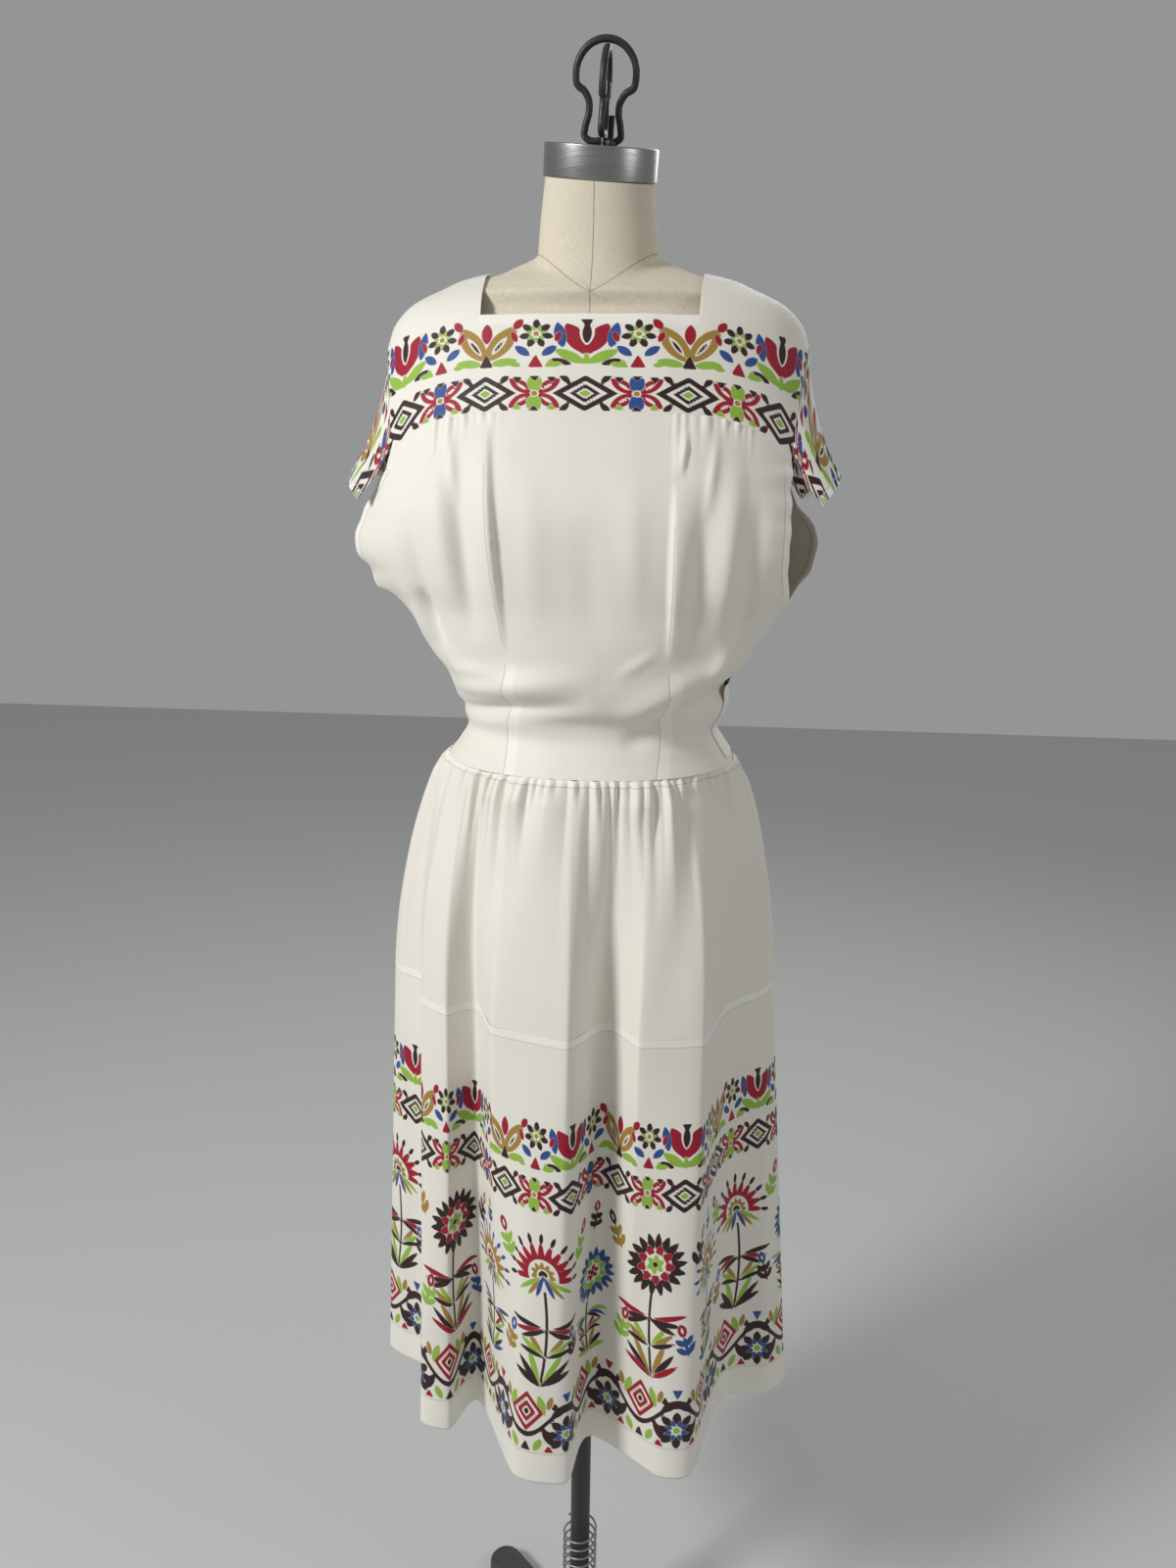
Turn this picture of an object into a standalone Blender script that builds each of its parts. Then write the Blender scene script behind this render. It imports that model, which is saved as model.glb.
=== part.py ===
"""A drop waist dress worn by a limbless dress form on a pole stand.

The dress is cut from thin crepe: a yoke, a bodice gathered into it, cap sleeves and a
gathered skirt of two tiers. Every panel is a wall of cloth worked out from short tables of
sections and folds. Metres, +Z up, the front of the dress faces -Y, and the origin is on the
floor under the pole.
"""

import math

import bmesh
import bpy
import numpy as np
from mathutils import Vector

for old in list(bpy.data.objects):
    bpy.data.objects.remove(old)

# Cloth
CLOTH = 0.0018  # wall of a cloth panel
SEAM_GAP = 0.0003  # between neighbouring pieces
SECTION_POWER = 2.2  # 2 is an ellipse, more is squarer

# Body of the dress from the shoulder to the drop waist seam. Half width, and depth from
# the shoulder line to the front and to the back.
BODY = [
    # z, half_width, front, back
    (1.1650, 0.1415, 0.128, 0.112),
    (1.1800, 0.1310, 0.119, 0.102),
    (1.1974, 0.1225, 0.113, 0.096),
    (1.2100, 0.1290, 0.118, 0.100),
    (1.2220, 0.1330, 0.126, 0.104),
    (1.2400, 0.1340, 0.132, 0.108),
    (1.2600, 0.1500, 0.134, 0.110),
    (1.2850, 0.1650, 0.136, 0.112),
    (1.3130, 0.1860, 0.137, 0.114),
    (1.3400, 0.2180, 0.140, 0.117),
    (1.3650, 0.2340, 0.142, 0.119),
    (1.3950, 0.2330, 0.142, 0.119),
    (1.4450, 0.2160, 0.130, 0.116),
    (1.4830, 0.2070, 0.117, 0.110),
    (1.5200, 0.1990, 0.107, 0.101),
    (1.5480, 0.1940, 0.100, 0.092),
    (1.5670, 0.1860, 0.094, 0.084),
    (1.5820, 0.1700, 0.084, 0.074),
    (1.5950, 0.1430, 0.070, 0.062),
    (1.6020, 0.1270, 0.060, 0.054),
    (1.6090, 0.0980, 0.048, 0.044),
]
ARM_TOP_Z = 1.548  # where the sleeve begins, on the shoulder line
YOKE_END_X = 0.178  # where the yoke seam meets the armhole
YOKE_SEAM_Z = 1.483
YOKE_SEAM_FALL = 0.034  # of the yoke seam from the middle to the armhole
NECK_X = 0.094  # half width of the square neckline
NECK_FRONT_Z = 1.564
NECK_BACK_Z = 1.588
NECK_TOP_X = 0.0985
WAIST_SEAM_Z = 1.165

# Edge of the bodice round the deep armhole, then down the side seam.
ARMHOLE = [
    # z, half_width
    (1.3130, 0.1860),
    (1.3270, 0.1990),
    (1.3450, 0.2110),
    (1.3650, 0.2180),
    (1.3800, 0.2170),
    (1.4000, 0.2060),
    (1.4200, 0.1920),
    (1.4490, 0.1780),
]

# The front's edge at the wearer's left armhole is drawn in and leaves the back's edge in view.
DRAWN_EDGE = [
    # z, half_width
    (1.3130, 0.1860),
    (1.3270, 0.1835),
    (1.3450, 0.1805),
    (1.3650, 0.1795),
    (1.3800, 0.1800),
    (1.4000, 0.1805),
    (1.4200, 0.1800),
    (1.4490, 0.1780),
]

# Creases of the bodice front, each along a straight line, highest at its middle.
BODICE_CREASES = [
    # start_x, start_z, end_x, end_z, left_width, right_width, height
    (-0.088, 1.455, -0.069, 1.290, 0.0035, 0.0140, 0.0045),
    (0.083, 1.450, 0.081, 1.300, 0.0140, 0.0035, 0.0045),
    (-0.132, 1.450, -0.116, 1.320, 0.0120, 0.0120, 0.0030),
    (-0.115, 1.430, -0.103, 1.290, 0.0090, 0.0090, -0.0030),
    (0.108, 1.400, 0.099, 1.260, 0.0110, 0.0110, -0.0035),
    (0.130, 1.420, 0.124, 1.270, 0.0120, 0.0120, 0.0035),
    (-0.150, 1.212, -0.010, 1.232, 0.0130, 0.0080, -0.0050),
    (-0.145, 1.236, 0.000, 1.250, 0.0120, 0.0120, 0.0040),
    (0.062, 1.200, 0.130, 1.245, 0.0110, 0.0080, -0.0050),
    (0.060, 1.225, 0.122, 1.266, 0.0120, 0.0110, 0.0040),
]

# Cap sleeve
SLEEVE_TIP = (0.228, 1.435)  # x and z of the hem, over the shoulder
SLEEVE_HEM_END = (0.203, 1.405)  # x and z of the hem, at the armhole's front and back
SLEEVE_HEM_DEPTH = 0.094  # y of the hem's ends
SLEEVE_REACH = 0.92  # share of the yoke's edge that the sleeve is sewn to
SLEEVE_ROWS = 5

# Gathers
YOKE_GATHERS = 8  # in each bust group
GATHER_GROUP = (0.277, 0.577)  # share of the half width that a bust group spans
YOKE_GATHER_DEPTH = 0.0022
YOKE_GATHER_REACH = 0.07
SKIRT_GATHERS = 52  # in the front of the skirt, and as many in the back
SKIRT_GATHER_DEPTH = 0.0024
SKIRT_GATHER_REACH = 0.10

# Skirt
TIER_Z = 0.9255
HEM_Z = 0.430
TIER_MEAN = (0.186, 0.137)  # mean half width and depth at the tier seam
FLARE_POWER = 2.3  # how fast the skirt springs out below the waist seam
TIER_FOLDS = [
    # ridge_start_x, ridge_start_y, ridge_end_x, ridge_end_y, valley_x, valley_y
    (-0.210, 0.008, -0.198, -0.012, -0.172, -0.030),
    (-0.160, -0.084, -0.130, -0.108, -0.104, -0.091),
    (-0.078, -0.142, -0.004, -0.164, 0.030, -0.121),
    (0.062, -0.154, 0.122, -0.142, 0.146, -0.066),
    (0.184, -0.022, 0.194, 0.008, 0.164, 0.062),
    (0.146, 0.104, 0.122, 0.122, 0.096, 0.106),
    (0.066, 0.142, 0.034, 0.150, 0.002, 0.120),
    (-0.030, 0.146, -0.062, 0.142, -0.094, 0.108),
    (-0.124, 0.124, -0.148, 0.106, -0.176, 0.056),
]
HEM_FOLDS = [
    # ridge_start_x, ridge_start_y, ridge_end_x, ridge_end_y, valley_x, valley_y
    (-0.231, 0.012, -0.214, -0.006, -0.177, -0.030),
    (-0.168, -0.102, -0.134, -0.110, -0.110, -0.067),
    (-0.056, -0.162, 0.000, -0.166, 0.018, -0.103),
    (0.092, -0.148, 0.128, -0.140, 0.160, -0.036),
    (0.214, -0.018, 0.233, 0.012, 0.178, 0.066),
    (0.164, 0.114, 0.138, 0.134, 0.108, 0.098),
    (0.076, 0.158, 0.040, 0.168, 0.004, 0.112),
    (-0.034, 0.162, -0.070, 0.158, -0.102, 0.100),
    (-0.138, 0.140, -0.166, 0.118, -0.186, 0.058),
]
SIDE_KNOTS = (0, 13)  # the left and right side seams, counted along the closed outline

# Side placket of the bodice
PLACKET_Z = (1.170, 1.242)
PLACKET_TURN = (74, 100)  # degrees round from the front
PLACKET_THICK = 0.0012

# Dress form
FORM_GAP = 0.0005  # from the yoke's inner face at the shoulders
FORM = [
    # z, half_width, front, back
    (0.9000, 0.1520, 0.100, 0.100),
    (0.9400, 0.1580, 0.105, 0.106),
    (1.0100, 0.1570, 0.107, 0.110),
    (1.0900, 0.1400, 0.104, 0.104),
    (1.1500, 0.1210, 0.099, 0.092),
    (1.2000, 0.1110, 0.094, 0.082),
    (1.2500, 0.1190, 0.102, 0.084),
    (1.3100, 0.1380, 0.117, 0.092),
    (1.3700, 0.1540, 0.130, 0.098),
    (1.4200, 0.1630, 0.124, 0.099),
    (1.4800, 0.1670, 0.106, 0.094),
    (1.5300, 0.1690, 0.094, 0.084),
    (1.5580, 0.1690, 0.084, 0.074),
    (1.5730, 0.1640, 0.076, 0.067),
]
# The form's shoulders go on under the yoke at these heights, and above them run up to the
# neck as a ridge.
FORM_SHOULDER_ROWS = (1.5880, 1.5940, 1.5990, 1.6035, 1.6062)
FORM_RIDGE = [
    # z, half_width, front, back
    (1.6085, 0.0915, 0.043, 0.039),
    (1.6150, 0.0770, 0.033, 0.030),
    (1.6210, 0.0620, 0.022, 0.020),
]
NECK = [
    # z, half_width, front, back, tilt
    (1.5850, 0.0680, 0.0750, 0.0600, 0.00),
    (1.5940, 0.0620, 0.0690, 0.0580, 0.00),
    (1.6000, 0.0595, 0.0655, 0.0570, 0.01),
    (1.6080, 0.0570, 0.0620, 0.0560, 0.03),
    (1.6150, 0.0560, 0.0595, 0.0545, 0.06),
    (1.6210, 0.0552, 0.0578, 0.0535, 0.09),
    (1.6300, 0.0545, 0.0560, 0.0515, 0.13),
    (1.6500, 0.0530, 0.0525, 0.0490, 0.19),
    (1.6890, 0.0485, 0.0495, 0.0475, 0.25),
]
NECK_ONLY_ROWS = 3  # of the neck's last rows, where no shoulder is left
FORM_COLUMNS = 32
NECK_TOP_Z = 1.689
NECK_TILT = 0.25  # how steeply the neck's top falls to the front
NECK_ROLL = 0.077  # and to the wearer's left
CAP_RADIUS = 0.051
CAP_HEIGHT = 0.027
WIRE_RADIUS = 0.0031
LOOP_HEIGHT = 0.083
LOOP_HALF_WIDTH = 0.0262
LOOP_LEG = [
    # half_width, height of the loop's leg, from the bar along its foot to the arch
    (0.0004, 0.0), (0.0120, 0.0), (0.0158, 0.0030), (0.0155, 0.0110), (0.0131, 0.0210),
    (0.0133, 0.0285), (0.0180, 0.0370),
]
BOLT_PLACE = (0.0080, -0.0085)
BOLT_NUT = 0.0042
BOLT_RADIUS = 0.0028
BOLT_HEIGHT = 0.023

# Stand
POLE_RADIUS = 0.0115
HUB_RADIUS = 0.034
HUB_HEIGHT = 0.088
BASE_THICK = 0.022
BASE_LEGS = 3
BASE_LEG = 0.172  # from the middle to the end of a leg
BASE_LEG_HALF_WIDTH = 0.021
BASE_TURN = -14  # degrees of the first leg from the front
BASE_CROTCH = 1.9  # from the middle to the corner between two legs, in half widths
SPRING_TOP_Z = 0.202
SPRING_RADIUS = 0.0193
SPRING_WIRE = 0.0012
SPRING_PITCH = 0.0120
SPRING_TURN_POINTS = 11

# Finishes
IVORY = (0.86, 0.83, 0.76)
LINEN = (0.72, 0.64, 0.50)
STEEL = (0.55, 0.55, 0.56)
BLACK = (0.02, 0.02, 0.022)
IRON = (0.10, 0.10, 0.11)


def finish(name, colour, roughness, metallic):
    """A plain material of one colour."""
    made = bpy.data.materials.new(name)
    made.use_nodes = True
    shader = made.node_tree.nodes["Principled BSDF"]
    shader.inputs["Base Color"].default_value = (*colour, 1)
    shader.inputs["Roughness"].default_value = roughness
    shader.inputs["Metallic"].default_value = metallic
    return made


crepe = finish("ivory_crepe", IVORY, 0.6, 0.0)
linen = finish("form_linen", LINEN, 0.8, 0.0)
steel = finish("brushed_steel", STEEL, 0.35, 1.0)
black_paint = finish("black_paint", BLACK, 0.5, 0.0)
cast_iron = finish("cast_iron", IRON, 0.6, 0.6)


def add_object(name, mesh, material, smooth=True):
    """Puts a finished mesh into the scene under the piece's name."""
    mesh.materials.append(material)
    if smooth:
        mesh.shade_smooth()
    made = bpy.data.objects.new(name, mesh)
    bpy.context.collection.objects.link(made)
    return made


def table_curve(table, column, at):
    """Smooth curve through one column of a table whose first column rises."""
    rows = np.array([row[:column + 1] for row in table], dtype=float)
    x, y = rows[:, 0], rows[:, column]
    slope = np.gradient(y, x)
    at = np.clip(np.asarray(at, dtype=float), x[0], x[-1])
    k = np.clip(np.searchsorted(x, at) - 1, 0, len(x) - 2)
    h = x[k + 1] - x[k]
    t = (at - x[k]) / h
    rise = (1 + 2 * t) * (1 - t) ** 2 * y[k] + t * (1 - t) ** 2 * h * slope[k]
    return rise + t * t * (3 - 2 * t) * y[k + 1] + t * t * (t - 1) * h * slope[k + 1]


def body_depth(x, z, side):
    """How far the body stands from the shoulder line at x and z: to the front if side is
    -1, to the back if it is +1. The section is a superellipse."""
    width = table_curve(BODY, 1, z)
    depth = table_curve(BODY, 2 if side < 0 else 3, z)
    share = np.clip(np.abs(x) / width, 0, 1)
    return side * depth * (1 - share**SECTION_POWER) ** (1 / SECTION_POWER)


def body_ring(z, turn):
    """Point of the body at height z, turn radians round from the front towards +X."""
    width = table_curve(BODY, 1, z)
    s, c = np.sin(turn), np.cos(turn)
    depth = np.where(c > 0, table_curve(BODY, 2, z), table_curve(BODY, 3, z))
    power = 2 / SECTION_POWER
    x = width * np.sign(s) * np.abs(s) ** power
    y = -depth * np.sign(c) * np.abs(c) ** power
    return np.stack([x, y, z + 0 * x], axis=-1)


def shoulder_z(x):
    """Height of the shoulder line at x, where the section is as wide as x."""
    heights = np.linspace(ARM_TOP_Z, BODY[-1][0], 200)
    widths = table_curve(BODY, 1, heights)
    return np.interp(-np.abs(x), -widths, heights)


def yoke_seam_z(x):
    """The yoke seam is level over the chest and falls towards the armhole."""
    return YOKE_SEAM_Z - YOKE_SEAM_FALL * (np.abs(x) / YOKE_END_X) ** 5


def body_normal(points):
    """Unit normals of the body's superellipse sections at points on it, pointing out. They
    turn smoothly over the shoulder line and the side seams, so that the walls on both sides
    of a seam end face to face."""
    x, y, z = (points[..., k] for k in range(3))
    step = 0.0005
    parts = []
    rise = 0
    for offset, column in ((x, 1), (y, None)):
        if column is None:
            size = np.where(y < 0, table_curve(BODY, 2, z), table_curve(BODY, 3, z))
            above = np.where(y < 0, table_curve(BODY, 2, z + step), table_curve(BODY, 3, z + step))
        else:
            size, above = table_curve(BODY, column, z), table_curve(BODY, column, z + step)
        share = np.abs(offset) / size
        parts.append(np.sign(offset) * share ** (SECTION_POWER - 1) / size)
        rise = rise - share**SECTION_POWER / size * (above - size) / step
    normal = np.stack([*parts, rise], axis=-1)
    return normal / np.linalg.norm(normal, axis=-1, keepdims=True)


def share_along(row):
    """How far along a row each of its points lies, from 0 to 1, seen from the front."""
    steps = np.abs(np.diff(row[:, 0])) + 1e-9
    length = np.concatenate([[0], np.cumsum(steps)])
    return length / length[-1]


def wall(name, rows, inner_rows, material, holes=()):
    """A wall of cloth between an outer and an inner list of rows of points. Neighbouring
    rows may hold different numbers of points, and are then joined by how far along each
    point lies. holes are the (row, column) cells left out, for rows of equal length."""
    starts = np.cumsum([0] + [len(row) for row in rows])
    shares = [share_along(row) for row in rows]
    faces = []
    for k in range(len(rows) - 1):
        upper, lower = len(rows[k]), len(rows[k + 1])
        if upper == lower:
            for c in range(upper - 1):
                if (k, c) in holes:
                    continue
                a, b = starts[k] + c, starts[k + 1] + c
                faces.append((a, b, b + 1, a + 1))
            continue
        i = j = 0
        while i < upper - 1 or j < lower - 1:
            ahead = j == lower - 1 or (i < upper - 1 and shares[k][i + 1] <= shares[k + 1][j + 1] + 1e-9)
            if ahead:
                faces.append((starts[k] + i, starts[k + 1] + j, starts[k] + i + 1))
                i += 1
            else:
                faces.append((starts[k] + i, starts[k + 1] + j, starts[k + 1] + j + 1))
                j += 1
    outer = np.concatenate(rows)
    inner = np.concatenate(inner_rows)
    count = len(outer)
    used = {}
    for face in faces:
        for a, b in zip(face, face[1:] + face[:1]):
            used[(a, b)] = True
    rim = [(a, b) for a, b in used if (b, a) not in used]
    solid = list(faces)
    solid += [tuple(v + count for v in reversed(face)) for face in faces]
    solid += [(b, a, a + count, b + count) for a, b in rim]
    mesh = bpy.data.meshes.new(name)
    mesh.from_pydata(np.concatenate([outer, inner]).tolist(), [], [tuple(map(int, f)) for f in solid])
    shaped = bmesh.new()
    shaped.from_mesh(mesh)
    loose = [v for v in shaped.verts if not v.link_faces]
    bmesh.ops.delete(shaped, geom=loose, context="VERTS")
    bmesh.ops.triangulate(shaped, faces=shaped.faces[:])
    bmesh.ops.recalc_face_normals(shaped, faces=shaped.faces[:])
    if shaped.calc_volume(signed=True) < 0:
        bmesh.ops.reverse_faces(shaped, faces=shaped.faces[:])
    shaped.to_mesh(mesh)
    shaped.free()
    return add_object(name, mesh, material)


def grid_wall(name, grid, normal, material, thick=CLOTH, holes=()):
    """A wall of one thickness inside a grid of outer points."""
    return wall(name, list(grid), list(grid - normal * thick), material, holes)


# The yoke lies over the shoulders with a square neckline, one panel in front and one behind.
# It is plain cloth to a small depth and printed below.
YOKE_STRAP_COLUMNS = 9
YOKE_NECK_COLUMNS = 13
YOKE_STRAP_ROWS = 4
YOKE_ROWS = 5


def yoke_edge(share):
    """x and z of the yoke's outer edge, from the shoulder line to the yoke seam."""
    x = table_curve(BODY, 1, ARM_TOP_Z) + (YOKE_END_X - table_curve(BODY, 1, ARM_TOP_Z)) * share
    z = ARM_TOP_Z + (yoke_seam_z(YOKE_END_X) - ARM_TOP_Z) * share**1.6
    return x, z


def make_yoke(name, side, neck_z, across):
    """The panel's grid has a notch for the neckline. Its rows run from the shoulder line
    to the neckline's level, then on to the yoke seam, where the panel has the bodice's own
    columns, so that the two edges follow each other."""
    strap = np.linspace(0, 1, YOKE_STRAP_COLUMNS)
    neck = np.linspace(-1, 1, YOKE_NECK_COLUMNS)
    grid = []
    for k in range(YOKE_STRAP_ROWS + YOKE_ROWS):
        over = k < YOKE_STRAP_ROWS
        share = (k / YOKE_STRAP_ROWS) * 0.5 if over else 0.5 + 0.5 * (k - YOKE_STRAP_ROWS) / (YOKE_ROWS - 1)
        edge_x, edge_z = yoke_edge(share)
        # Near the shoulder line the depth grows as the root of the drop, so the drop is squared.
        drop = k / YOKE_STRAP_ROWS
        inner_x = NECK_X + (NECK_TOP_X - NECK_X) * max(0, 1 - drop)
        x_right = inner_x + (edge_x - inner_x) * strap
        if over:
            top = shoulder_z(x_right)
            low_edge = yoke_edge(0.5)[1]
            low = neck_z + (low_edge - neck_z) * strap**2
            z_right = top + (low - top) * drop**2
        else:
            fall = (k - YOKE_STRAP_ROWS) / (YOKE_ROWS - 1)
            low_edge = yoke_edge(0.5)[1]
            start = neck_z + (low_edge - neck_z) * strap**2
            finish_z = yoke_seam_z(x_right) + SEAM_GAP / 2
            z_right = start + (finish_z - start) * fall
            z_right[-1] = edge_z if fall < 1 else finish_z[-1]
        if over:
            z_right[-1] = edge_z
        x_mid = inner_x * neck
        if over:
            z_mid = np.full(YOKE_NECK_COLUMNS, z_right[0])
        else:
            z_mid = neck_z + (yoke_seam_z(x_mid) + SEAM_GAP / 2 - neck_z) * fall
        x = np.concatenate([-x_right[::-1], x_mid[1:-1], x_right])
        z = np.concatenate([z_right[::-1], z_mid[1:-1], z_right])
        y = body_depth(x, z, side)
        y = np.where(np.abs(y) < SEAM_GAP / 2, side * SEAM_GAP / 2, y)
        grid.append(np.stack([x, y, z], axis=-1))
    grid = np.array(grid)
    normal = body_normal(grid)
    first = YOKE_STRAP_COLUMNS - 1
    holes = {(k, c) for k in range(YOKE_STRAP_ROWS) for c in range(first, first + YOKE_NECK_COLUMNS - 1)}
    seam = seam_points(across, side, SEAM_GAP / 2)
    rows = [*grid[:-1], seam]
    inner_rows = [*(grid - normal * CLOTH)[:-1], seam - body_normal(seam) * CLOTH]
    wall(name, rows, inner_rows, crepe, holes=holes)


def seam_points(across, side, rise):
    """The yoke seam's points, at the bodice's columns."""
    x = YOKE_END_X * np.sin(across * math.pi / 2)
    z = yoke_seam_z(x) + rise
    return np.stack([x, body_depth(x, z, side), z], axis=-1)


FRONT_SPREAD = (5, 2 * YOKE_GATHERS, 6, 2 * YOKE_GATHERS, 5)
BACK_COLUMNS = 25
low_share, high_share = GATHER_GROUP
stops = (-1, -high_share, -low_share, low_share, high_share, 1)
front_across = np.concatenate(
    [np.linspace(a, b, n, endpoint=False) for a, b, n in zip(stops, stops[1:], FRONT_SPREAD)] + [[1.0]]
)
back_across = np.linspace(-1, 1, BACK_COLUMNS)
make_yoke("yoke_front", -1, NECK_FRONT_Z, front_across)
make_yoke("yoke_back", 1, NECK_BACK_Z, back_across)


# The bodice hangs from the yoke seam to the drop waist seam. The front is gathered into the
# yoke over each bust, and both panels stand away at the armholes and pouch over the waist.
BODICE_Z = (1.455, 1.425, 1.390, 1.355, 1.3135, 1.285, 1.258, 1.238, 1.222, 1.2095, 1.1974, 1.182)


def crease_height(x, z):
    """How far the creases raise the cloth at x and z. Each is a bell across its line, with
    its own width on either hand as one goes along it, and fades out at both ends."""
    total = 0 * x
    for start_x, start_z, end_x, end_z, left, right, height in BODICE_CREASES:
        length = math.hypot(end_x - start_x, end_z - start_z)
        ahead_x, ahead_z = (end_x - start_x) / length, (end_z - start_z) / length
        along = ((x - start_x) * ahead_x + (z - start_z) * ahead_z) / length
        across = (z - start_z) * ahead_x - (x - start_x) * ahead_z
        bell = np.exp(-((across / np.where(across > 0, left, right)) ** 2))
        total = total + height * bell * np.sin(math.pi * np.clip(along, 0, 1)) ** 0.7
    return total


def edge_half_width(z):
    """Half width of a bodice panel: the armhole's edge, and below it the side seam."""
    armhole = table_curve(ARMHOLE, 1, z)
    side = table_curve(BODY, 1, z)
    return np.where(z > ARMHOLE[0][0], np.minimum(armhole, side), side)


def make_bodice(name, side, across, gather_depth):
    """across runs from -1 to 1 over the panel. The half width is carried by a sine, so that
    columns crowd towards the side seam, where the section turns fastest."""
    rows = []
    top_z = yoke_seam_z(YOKE_END_X * np.sin(across * math.pi / 2)) - SEAM_GAP / 2
    levels = [top_z]
    for z in BODICE_Z:
        keep = max(0.0, (z - BODICE_Z[2]) / (YOKE_SEAM_Z - BODICE_Z[2]))
        levels.append(z + (top_z - YOKE_SEAM_Z) * keep)
    levels.append(np.full(len(across), WAIST_SEAM_Z + SEAM_GAP / 2))
    for z in levels:
        z = z + 0 * across
        half_width = edge_half_width(z)
        if side < 0:
            drawn = np.minimum(half_width, table_curve(DRAWN_EDGE, 1, z))
            half_width = np.where(across > 0, drawn, half_width)
        x = half_width * np.sin(across * math.pi / 2)
        y = body_depth(x, z, side)
        y = np.where(np.abs(y) < SEAM_GAP / 2, side * SEAM_GAP / 2, y)
        rows.append(np.stack([x, y, z], axis=-1))
    rows[0] = seam_points(across, side, -SEAM_GAP / 2)
    grid = np.array(rows)
    normal = body_normal(grid)
    normal[-1, :, 2] = 0
    normal[-1] /= np.linalg.norm(normal[-1], axis=-1, keepdims=True)
    if side < 0:
        grid = grid + normal * crease_height(grid[..., 0], grid[..., 2])[..., None]
    inner = grid - normal * CLOTH
    if gather_depth:
        low, high = GATHER_GROUP
        inside = (np.abs(across) >= low) & (np.abs(across) <= high)
        column = np.arange(len(across))
        wave = np.where(inside, column % 2, 0)
        fade = np.clip(1 - (grid[:1, :, 2] - grid[:, :, 2]) / YOKE_GATHER_REACH, 0, 1)
        raised = normal * (wave * gather_depth)[None, :, None] * fade[:, :, None]
        grid = grid + raised
        inner = inner + raised * 0.5
    wall(name, list(grid), list(inner), crepe)


make_bodice("bodice_front", -1, front_across, YOKE_GATHER_DEPTH)
make_bodice("bodice_back", 1, back_across, 0)


# Cap sleeves cover the top of the armholes and flare at the hem.
def make_sleeve(name, hand):
    """hand is -1 or +1 for the side of the sleeve. A row runs round the shoulder from the
    front end to the back end, and rows run from the yoke's edge to the hem."""
    half = np.append(np.linspace(0, 1, YOKE_STRAP_ROWS + YOKE_ROWS)[:-1], SLEEVE_REACH)
    around = np.concatenate([-half[:0:-1], half])
    share = np.abs(around)
    joint_x, joint_z = yoke_edge(share)
    joint_y = np.where(around < 0, body_depth(joint_x, joint_z, -1), body_depth(joint_x, joint_z, 1))
    turn = around * math.pi / 2
    hem_x = SLEEVE_HEM_END[0] + (SLEEVE_TIP[0] - SLEEVE_HEM_END[0]) * np.cos(turn)
    hem_z = SLEEVE_HEM_END[1] + (SLEEVE_TIP[1] - SLEEVE_HEM_END[1]) * np.cos(turn)
    hem_y = SLEEVE_HEM_DEPTH * np.sin(turn)
    grid = []
    for k in range(SLEEVE_ROWS):
        down = k / (SLEEVE_ROWS - 1)
        x = joint_x + (hem_x - joint_x) * down**1.7
        y = joint_y + (hem_y - joint_y) * down
        z = joint_z + (hem_z - joint_z) * down
        grid.append(np.stack([x, y, z], axis=-1))
    grid = np.array(grid)
    normal = np.cross(np.gradient(grid, axis=0), np.gradient(grid, axis=1))
    normal /= np.linalg.norm(normal, axis=-1, keepdims=True)
    normal[0] = body_normal(grid[0])
    apart = np.cross(np.gradient(grid[0], axis=0), normal[0])
    grid[0] += SEAM_GAP * apart / np.linalg.norm(apart, axis=-1, keepdims=True)
    mirror = np.array([hand, 1, 1])
    grid_wall(name, grid * mirror, normal * mirror, crepe)


make_sleeve("sleeve_left", -1)
make_sleeve("sleeve_right", 1)


# The skirt springs from the drop waist seam in fine gathers that fall into a few big folds.
# The lower tier carries on from the tier seam to the hem.
def fold_outline(folds, front, points):
    """Half of the closed curve round every ridge and through every valley, from one side seam
    to the other, as points evenly spaced along it. front picks the half that faces -Y."""
    knots = np.array(folds, dtype=float).reshape(-1, 2)
    first, second = SIDE_KNOTS
    order = np.arange(first, second + 1) if front else np.arange(second, len(knots) + first + 1)
    curve = []
    for k in order[:-1]:
        before, a, b, after = (knots[(k + d) % len(knots)] for d in (-1, 0, 1, 2))
        t = np.linspace(0, 1, 24, endpoint=False)[:, None]
        bend_in, bend_out = 0.42 * (b - before), 0.42 * (after - a)
        piece = (1 + 2 * t) * (1 - t) ** 2 * a + t * (1 - t) ** 2 * bend_in
        curve.append(piece + t * t * (3 - 2 * t) * b + t * t * (t - 1) * bend_out)
    curve.append(knots[order[-1] % len(knots)][None])
    curve = np.concatenate(curve)
    length = np.concatenate([[0], np.cumsum(np.linalg.norm(np.diff(curve, axis=0), axis=1))])
    at = np.linspace(0, length[-1], points)
    outline = np.stack([np.interp(at, length, curve[:, k]) for k in (0, 1)], axis=-1)
    return outline if front else outline[::-1]


def seam_ellipse(half_width, front_depth, back_depth, front, points):
    """Half of an ellipse from the -X side to the +X side, evenly spaced."""
    turn = np.linspace(-math.pi / 2, math.pi / 2, 721)
    depth = -front_depth if front else back_depth
    curve = np.stack([half_width * np.sin(turn), depth * np.cos(turn)], axis=-1)
    length = np.concatenate([[0], np.cumsum(np.linalg.norm(np.diff(curve, axis=0), axis=1))])
    at = np.linspace(0, length[-1], points)
    return np.stack([np.interp(at, length, curve[:, k]) for k in (0, 1)], axis=-1)


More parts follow.
